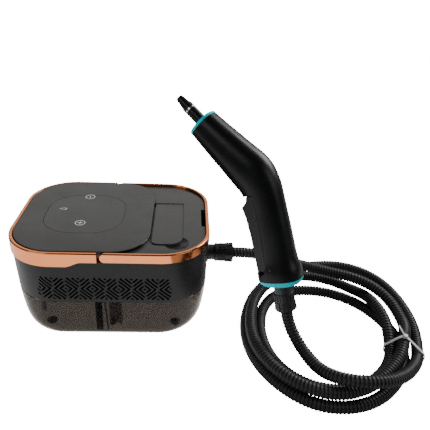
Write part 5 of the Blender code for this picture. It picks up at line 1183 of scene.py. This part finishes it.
# Each station's place along and up, as shares of the gun's size, the angle of its middle line in
# degrees, and its depth and width as shares of the grip's
GUN_STATIONS = (
    (0.0480, 0.1400, 72.0, 1.175, 1.210), (0.0600, 0.1767, 71.5, 1.165, 1.175),
    (0.0717, 0.2133, 71.0, 1.040, 1.060), (0.0917, 0.2667, 69.5, 1.005, 1.010),
    (0.1200, 0.3400, 68.5, 1.000, 1.000), (0.1483, 0.4067, 67.5, 1.000, 1.000),
    (0.1720, 0.4617, 64.5, 1.015, 1.040), (0.2000, 0.5133, 56.0, 1.060, 1.100),
    (0.2467, 0.5617, 43.0, 1.125, 1.150), (0.3250, 0.6133, 35.5, 1.010, 1.130),
    (0.4067, 0.6667, 34.5, 0.900, 1.080), (0.4783, 0.7150, 34.5, 0.804, 1.035))


def fine_stations(stations, between=4):
    """More stations on a smooth curve through the given ones."""
    found = []
    for index in range(len(stations) - 1):
        a, b = stations[max(index - 1, 0)], stations[index]
        c, d = stations[index + 1], stations[min(index + 2, len(stations) - 1)]
        for step in range(between):
            t = step / between
            found.append(tuple(
                0.5 * (2 * q + (r - p) * t + (2 * p - 5 * q + 4 * r - s) * t * t
                       + (3 * q - p - 3 * r + s) * t ** 3)
                for p, q, r, s in zip(a, b, c, d)))
    return found + [stations[-1]]


def moved_station(station, distance, share=1.0):
    """A station moved along its own axis, with its section scaled."""
    x, z, angle, depth, width = station
    turn, step = math.radians(angle), distance / GUN_SIZE
    return (x + math.cos(turn) * step, z + math.sin(turn) * step, angle, depth * share,
            width * share)


def gun_arc(station, side, inset=0.0, steps=20):
    """Half of one section, from the front edge round one side to the back edge."""
    x, z, angle, depth, width = station
    turn = math.radians(angle)
    across = Vector((-math.sin(turn), 0, math.cos(turn)))
    centre = Vector((x, 0, z)) * GUN_SIZE
    points = []
    for step in range(steps + 1):
        part = math.pi * step / steps
        out = abs(math.sin(part)) ** SQUARENESS * (GRIP_WIDTH * width / 2 - inset)
        deep = math.copysign(abs(math.cos(part)) ** SQUARENESS, math.cos(part)) \
            * (GRIP_DEPTH * depth / 2 - inset)
        points.append(centre - across * deep + Vector((0, side * max(out, HALF_GAP), 0)))
    return points


def loft(rings):
    """A closed body of the gun through rings of points that have the same count."""
    shape = bmesh.new()
    bridge_rings(shape, [ring_of(shape, [gun_place @ point for point in points])[1]
                         for points in rings])
    bmesh.ops.recalc_face_normals(shape, faces=shape.faces)
    return shape


def gun_prism(spots, half):
    """A prism across the gun from points of its profile plane."""
    return loft([[Vector((x, side * half, z)) for x, z in spots] for side in (-1, 1)])


def gun_spot(shares, y=0.0):
    """A point of the gun in the frame of the object."""
    return gun_place @ Vector((shares[0] * GUN_SIZE, y, shares[1] * GUN_SIZE))


def gun_way(angle):
    """A direction of the gun's profile plane in the frame of the object."""
    turn = math.radians(angle)
    return gun_place.to_3x3() @ Vector((math.cos(turn), 0, math.sin(turn)))


print("stations of the gun", len(fine_stations(GUN_STATIONS)))

# %% The two shells with the trigger's slot
SHELL_WALL = 0.0024
PIN = (0.0833, 0.1833)
PIVOT = (PIN[0] * GUN_SIZE, PIN[1] * GUN_SIZE)
REACH = 0.318 * GUN_SIZE
GUN_SCREWS = ((0.0600, 0.2350), (0.0850, 0.3450), (0.3000, 0.6250))
side_way = (gun_place.to_3x3() @ Vector((0, 1, 0))).normalized()


def pivot_arc(reach, start, end, steps=12):
    """Points on an arc about the trigger's pin, between two angles in degrees."""
    turns = [math.radians(start + (end - start) * step / steps) for step in range(steps + 1)]
    return [(PIVOT[0] + reach * math.cos(turn), PIVOT[1] + reach * math.sin(turn))
            for turn in turns]


def scaled_spots(shares):
    """Profile points from shares of the gun's size."""
    return [(x * GUN_SIZE, z * GUN_SIZE) for x, z in shares]


def pin_hole():
    """A cutter for the trigger's pin, right across the gun."""
    return cylinder(0.0018, 0.08, lay_along(gun_spot(PIN, -0.04), side_way), 24)


trigger_slot = scaled_spots(((0.1410, 0.3023), (0.1050, 0.1867), (0.1050, 0.1540),
                             (0.1200, 0.1417), (0.1900, 0.1417), (0.3000, 0.2000))) \
    + pivot_arc(REACH + 0.001, 30, 67.5)
for name, node, side in (("gun_near_shell", "gun_shell_left", 1),
                         ("gun_far_shell", "gun_shell_right", -1)):
    rings = [gun_arc(station, side) + gun_arc(station, side, SHELL_WALL)[::-1]
             for station in fine_stations(GUN_STATIONS)]
    shell = add_piece(name, loft(rings), gun_black, [node])
    cutters = [gun_prism(trigger_slot, 0.04), pin_hole()]
    if side < 0:
        cutters += [cylinder(0.0019, 0.04, lay_along(gun_spot(spot), -side_way), 24)
                    for spot in GUN_SCREWS]
    subtract(shell, *cutters)
    print(name, "open edges", open_edges(shell))

# %% [markdown]
# The trigger is long and nearly straight, with a hook at its top and a heel at its foot. It hangs
# on a pin low in the handle. Its outline is drawn in the gun's profile plane, extruded across and
# rounded on both sides, because fingers press on its edges.

# %% The trigger
TRIGGER_HALF = 0.0142
trigger_edge = scaled_spots((
    (0.2360, 0.4400), (0.2500, 0.4120), (0.2270, 0.3760), (0.1950, 0.3050), (0.1660, 0.2300),
    (0.1500, 0.1833), (0.1400, 0.1580), (0.0750, 0.1640), (0.0670, 0.1850), (0.0780, 0.2050),
    (0.1180, 0.2150), (0.1455, 0.3010)))
trigger_shape = gun_prism(pivot_arc(REACH, 66.6, 60.5) + trigger_edge, TRIGGER_HALF)
long_edges = [line for line in trigger_shape.edges
              if abs((line.verts[0].co - line.verts[1].co).normalized().dot(side_way)) < 0.5]
round_edges(trigger_shape, long_edges, 0.0020, 4)
trigger = add_piece("trigger_lever", trigger_shape, trigger_black,
                    ["trigger"], body="gun_trigger")
subtract(trigger, pin_hole())
print("trigger open edges", open_edges(trigger))

# %% [markdown]
# The teal end cap closes the handle's foot and bulges a little, so it looks like a crescent from
# the front. A thin teal ring closes the barrel. Both continue the gun's own section.

# %% The teal end cap and front ring
CAP_PROFILE = ((0.0003, 1.0), (0.0015, 0.992), (0.0030, 0.972), (0.0047, 0.930), (0.0062, 0.880),
               (0.0076, 0.800), (0.0085, 0.720))
RING_PROFILE = ((0.0003, 1.0), (0.0032, 1.0), (0.0038, 0.985), (0.0040, 0.965))


def whole_ring(station):
    """A whole section of the gun as one ring of points."""
    near, far = gun_arc(station, 1), gun_arc(station, -1)
    for spot in (near[0], near[-1]):
        spot.y = 0
    return near + far[-2:0:-1]


def teal_end(name, node, station, way, profile):
    """A teal end piece: the gun's section carried on past a station, and drawn in."""
    rings = [whole_ring(moved_station(station, way * depth, share)) for depth, share in profile]
    return add_piece(name, loft(rings), teal_trim, [node])


first, last = GUN_STATIONS[0], GUN_STATIONS[-1]
end_way, nozzle_way = gun_way(first[2]), gun_way(last[2])
mouth_spot = gun_spot(last[:2])
cap = teal_end("gun_end_cap_teal", "gun_end_cap", first, -1, CAP_PROFILE)
subtract(cap, cylinder(MOUTH_RADIUS, 0.08, lay_along(gun_foot, end_way)))
front_ring = teal_end("gun_front_ring_teal", "gun_front_ring", last, 1, RING_PROFILE)
subtract(front_ring, cylinder(0.0076, 0.03, lay_along(mouth_spot - nozzle_way * 0.01,
                                                      nozzle_way)))
print("cap and ring open edges", open_edges(cap), open_edges(front_ring))

# %% [markdown]
# The nozzle is a black tube with a silver ring and a tapered tip. These are turned parts on the
# real tool, so each is one closed profile spun round the barrel's axis, with its edges broken.

# %% Nozzle tube, silver ring and tip
def softened(radius, low, high, bore, edge=0.0004):
    """The closed profile of a plain tube with broken outer edges."""
    return ((bore, low), (radius - edge, low), (radius, low + edge), (radius, high - edge),
            (radius - edge, high), (bore, high))


TIP_PROFILE = ((0.0018, 0.0276), (0.0070, 0.0276), (0.0074, 0.0280), (0.0074, 0.0322),
               (0.0070, 0.0326), (0.0066, 0.0330), (0.0056, 0.0390), (0.0047, 0.0462),
               (0.0044, 0.0467), (0.0040, 0.0471), (0.0018, 0.0471))
for name, profile, finish, slot_name, node in (
        ("nozzle_sleeve", softened(0.0073, -0.010, 0.0245, 0.004), gun_black,
         "satin_black_grip", "nozzle_tube"),
        ("nozzle_band", softened(0.0074, 0.0248, 0.0273, 0.004, 0.0003), ring_silver,
         "silver_ring", "nozzle_ring"),
        ("nozzle_taper", TIP_PROFILE, gun_black, "satin_black_grip", "nozzle_tip")):
    add_piece(name, turned_profile(profile, lay_along(mouth_spot, nozzle_way)), finish,
              [node])

# %% [markdown]
# ## Where the hose meets its ends
# At both ends the hose goes into a conduit gland: a nut with grip ribs and long claws that clamp
# round the hose. The nut is turned, the ribs and claws are rounded blocks set round it, and the
# claws lean out as they do when they are clamped on a thick hose.

# %% Glands at the base and at the gun
def set_round(shape, count, size, radius, middle, lean=0.0):
    """Add rounded blocks round the Z axis: size is out, around and along."""
    for step in range(count):
        turn = Matrix.Rotation(2 * math.pi * step / count, 4, "Z")
        place = turn @ Matrix.Translation((radius, 0, middle)) @ Matrix.Rotation(lean, 4, "Y")
        add_shape(shape, block(size, place, 0.0003, 2))


nut_low, nut_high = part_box("base_gland_nut")
NUT = nut_high.x - nut_low.x
gland_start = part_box("base_gland_body")[0].x
COLLAR = nut_low.x - 0.0003 - gland_start
base_gland = turned_profile(
    ((0.0041, 0), (0.0115, 0), (0.0115, 0.0070), (0.0141, 0.0070), (0.0145, 0.0075),
     (0.0145, 0.0098), (0.0141, 0.0103), (0.0115, 0.0103), (0.0115, COLLAR), (0.0041, COLLAR)),
    lay_along((gland_start, 0, GLAND_HEIGHT), (1, 0, 0)))
add_piece("base_gland_collar", base_gland, connector_black,
          ["base_gland_body"])
nut_shape = turned_profile(
    ((0.0086, 0), (0.0128, 0), (0.0134, 0.0006), (0.0134, 0.0042), (0.0124, 0.0050),
     (0.0124, NUT - 0.0064), (0.0130, NUT - 0.0056), (0.0130, NUT - 0.0012),
     (0.0122, NUT - 0.0004), (0.0086, NUT)))
set_round(nut_shape, 20, (0.0014, 0.0018, 0.0100), 0.0126, 0.0105)
set_round(nut_shape, 8, (0.0016, 0.0062, 0.0110), 0.0130, NUT - 0.0062, lean=math.radians(5))
add_piece("base_gland_claw_nut", placed(nut_shape, lay_along((nut_low.x, 0, GLAND_HEIGHT),
                                                             (1, 0, 0))),
          connector_black, ["base_gland_nut"])
gun_nut = turned_profile(
    ((0.0086, 0.0003), (0.0122, 0.0003), (0.0130, 0.0012), (0.0130, 0.0056), (0.0124, 0.0064),
     (0.0124, 0.0236), (0.0118, 0.0240), (0.0115, 0.0240), (0.0115, 0.0360), (0.0040, 0.0360),
     (0.0040, 0.0200), (0.0086, 0.0190)))
set_round(gun_nut, 8, (0.0016, 0.0058, 0.0110), 0.0128, 0.0070, lean=math.radians(-5))
set_round(gun_nut, 20, (0.0010, 0.0018, 0.0090), 0.0127, 0.0185)
add_piece("gun_gland_claw_nut", placed(gun_nut, lay_along(gun_foot, end_way)), connector_black,
          ["gun_gland"])

# %% [markdown]
# ## Finishes of the parts that keep their CAD shape
# Feet, posts, screws, pipes, boards, the pump and the boiler are plain shapes in reality too. They
# keep the frame's own shapes and only get better finishes.

# %% Assign finishes to kept nodes
KEPT = {
    rubber_black: ("foot_", "tank_gasket", "filler_seal", "pump_mount"),
    tank_smoke: ("tank_pillar_",),
    body_black: ("chassis_plate", "filler_neck", "boiler_cradle"),
    connector_black: ("mains_inlet", "trigger_switch", "trigger_pin"),
    steel_plain: ("tank_screw_", "gun_screw_", "handle_pivot_", "flap_hinge_pin", "thermostat",
                  "trigger_spring"),
    alloy_cast: ("boiler", "pump", "relief_valve"),
    tube_clear: ("suction_tube", "feed_pipe", "steam_pipe", "gun_steam_pipe"),
    board_green: ("touch_board", "supply_board"),
}
for finish, starts in KEPT.items():
    for name, node in nodes.items():
        if any(name == start or (start.endswith("_") and name.startswith(start))
               for start in starts):
            for place in node.material_slots:
                place.material = finish
print("kept nodes", sum(not node.hide_render for node in nodes.values()))

# %% [markdown]
# ## Floor, lights and the white background
# The photograph is cut out on pure white, while the product itself was lit softly in a dark
# studio: its blacks are deep and only broad reflections show. So the camera sees a white floor and
# a white world, but every other ray meets a dim room. A light table under the base glows for those
# rays too, because the plated rim and the tank show it. Four soft lights draw the other
# reflections.

# %% White for the camera, dim for the room
WHITE = 16.0
ROOM = 0.05


def white_for_camera(tree, dim):
    """An emission strength: white where the camera looks, dim for all other rays."""
    path = tree.nodes.new("ShaderNodeLightPath")
    return spread(tree, path.outputs["Is Camera Ray"], 0.0, 1.0, dim, WHITE)


def lit_white(name, base, glow):
    """A matt white that glows a little for the room and fully for the camera."""
    material = bpy.data.materials.new(name)
    material.use_nodes = True
    tree = material.node_tree
    shader = tree.nodes["Principled BSDF"]
    set_inputs(shader, {"Base Color": (base, base, base, 1), "Roughness": 0.9,
                        "Specular IOR Level": 0.1, "Emission Color": (1, 1, 1, 1)})
    feed(tree, white_for_camera(tree, glow), shader.inputs["Emission Strength"])
    return material


def stage_plane(name, material, middle, half_size, drop):
    """A flat plane of the studio, a hair below the feet."""
    shape = bmesh.new()
    bmesh.ops.create_grid(shape, x_segments=1, y_segments=1, size=1.0)
    bmesh.ops.scale(shape, vec=(*half_size, 1), verts=shape.verts)
    bmesh.ops.translate(shape, vec=(*middle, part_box("foot_front_left")[0].z - drop),
                        verts=shape.verts)
    mesh = mesh_from(name, shape)
    mesh.materials.append(material)
    add_object(name, mesh)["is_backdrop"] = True


stage_plane("studio_floor", lit_white("white_floor", 0.60, 0.0), (0, 0), (6.0, 6.0), 0.0001)
stage_plane("light_table", lit_white("light_table_white", 0.80, 1.00), (-0.2175, -0.26),
            (0.3825, 0.36), 0.00005)
world = bpy.data.worlds.new("white_studio")
world.use_nodes = True
backdrop = world.node_tree.nodes["Background"]
backdrop.inputs["Color"].default_value = (1, 1, 1, 1)
feed(world.node_tree, white_for_camera(world.node_tree, ROOM), backdrop.inputs["Strength"])
scene.world = world
print("white for the camera", WHITE, "and for the room", ROOM)

# %% Soft lights
def area_light(name, place, aim, size, power):
    """A soft rectangular light, of some width and height, that looks at a point."""
    lamp = bpy.data.lights.new(name, "AREA")
    lamp.shape = "RECTANGLE"
    lamp.size, lamp.size_y = size
    lamp.energy = power
    way = (Vector(aim) - Vector(place)).to_track_quat("-Z", "Y").to_matrix().to_4x4()
    add_object(name, lamp).matrix_world = Matrix.Translation(place) @ way


area_light("key_left", (-0.9, -0.9, 1.1), (0.05, 0, 0.08), (0.9, 0.7), 4.5)
area_light("fill_right", (1.2, -0.8, 0.9), (0.2, 0, 0.08), (0.9, 0.7), 3)
area_light("barrel_streak", (1.2, 0.6, 1.1), (0.1, -0.15, 0.25), (0.9, 0.9), 22)
area_light("back_bank", (0.1, 1.5, 1.0), (0.1, 0, 0.1), (2.2, 0.9), 4.8)

# %% [markdown]
# ## Shading of flat and rounded faces
# A rounded edge beside a wide flat face should shade round while the face stays flat. Weighted
# normals do that: each corner takes its normal mostly from the larger face.

# %% Weighted normals on every made piece
made = [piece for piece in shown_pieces() if piece.type == "MESH" and piece.name not in nodes
        and piece is not hose]
for piece in made:
    weighted = piece.modifiers.new("flat faces stay flat", "WEIGHTED_NORMAL")
    weighted.keep_sharp = True
    weighted.weight = 100
bpy.context.view_layer.update()
print("pieces with weighted normals", len(made))
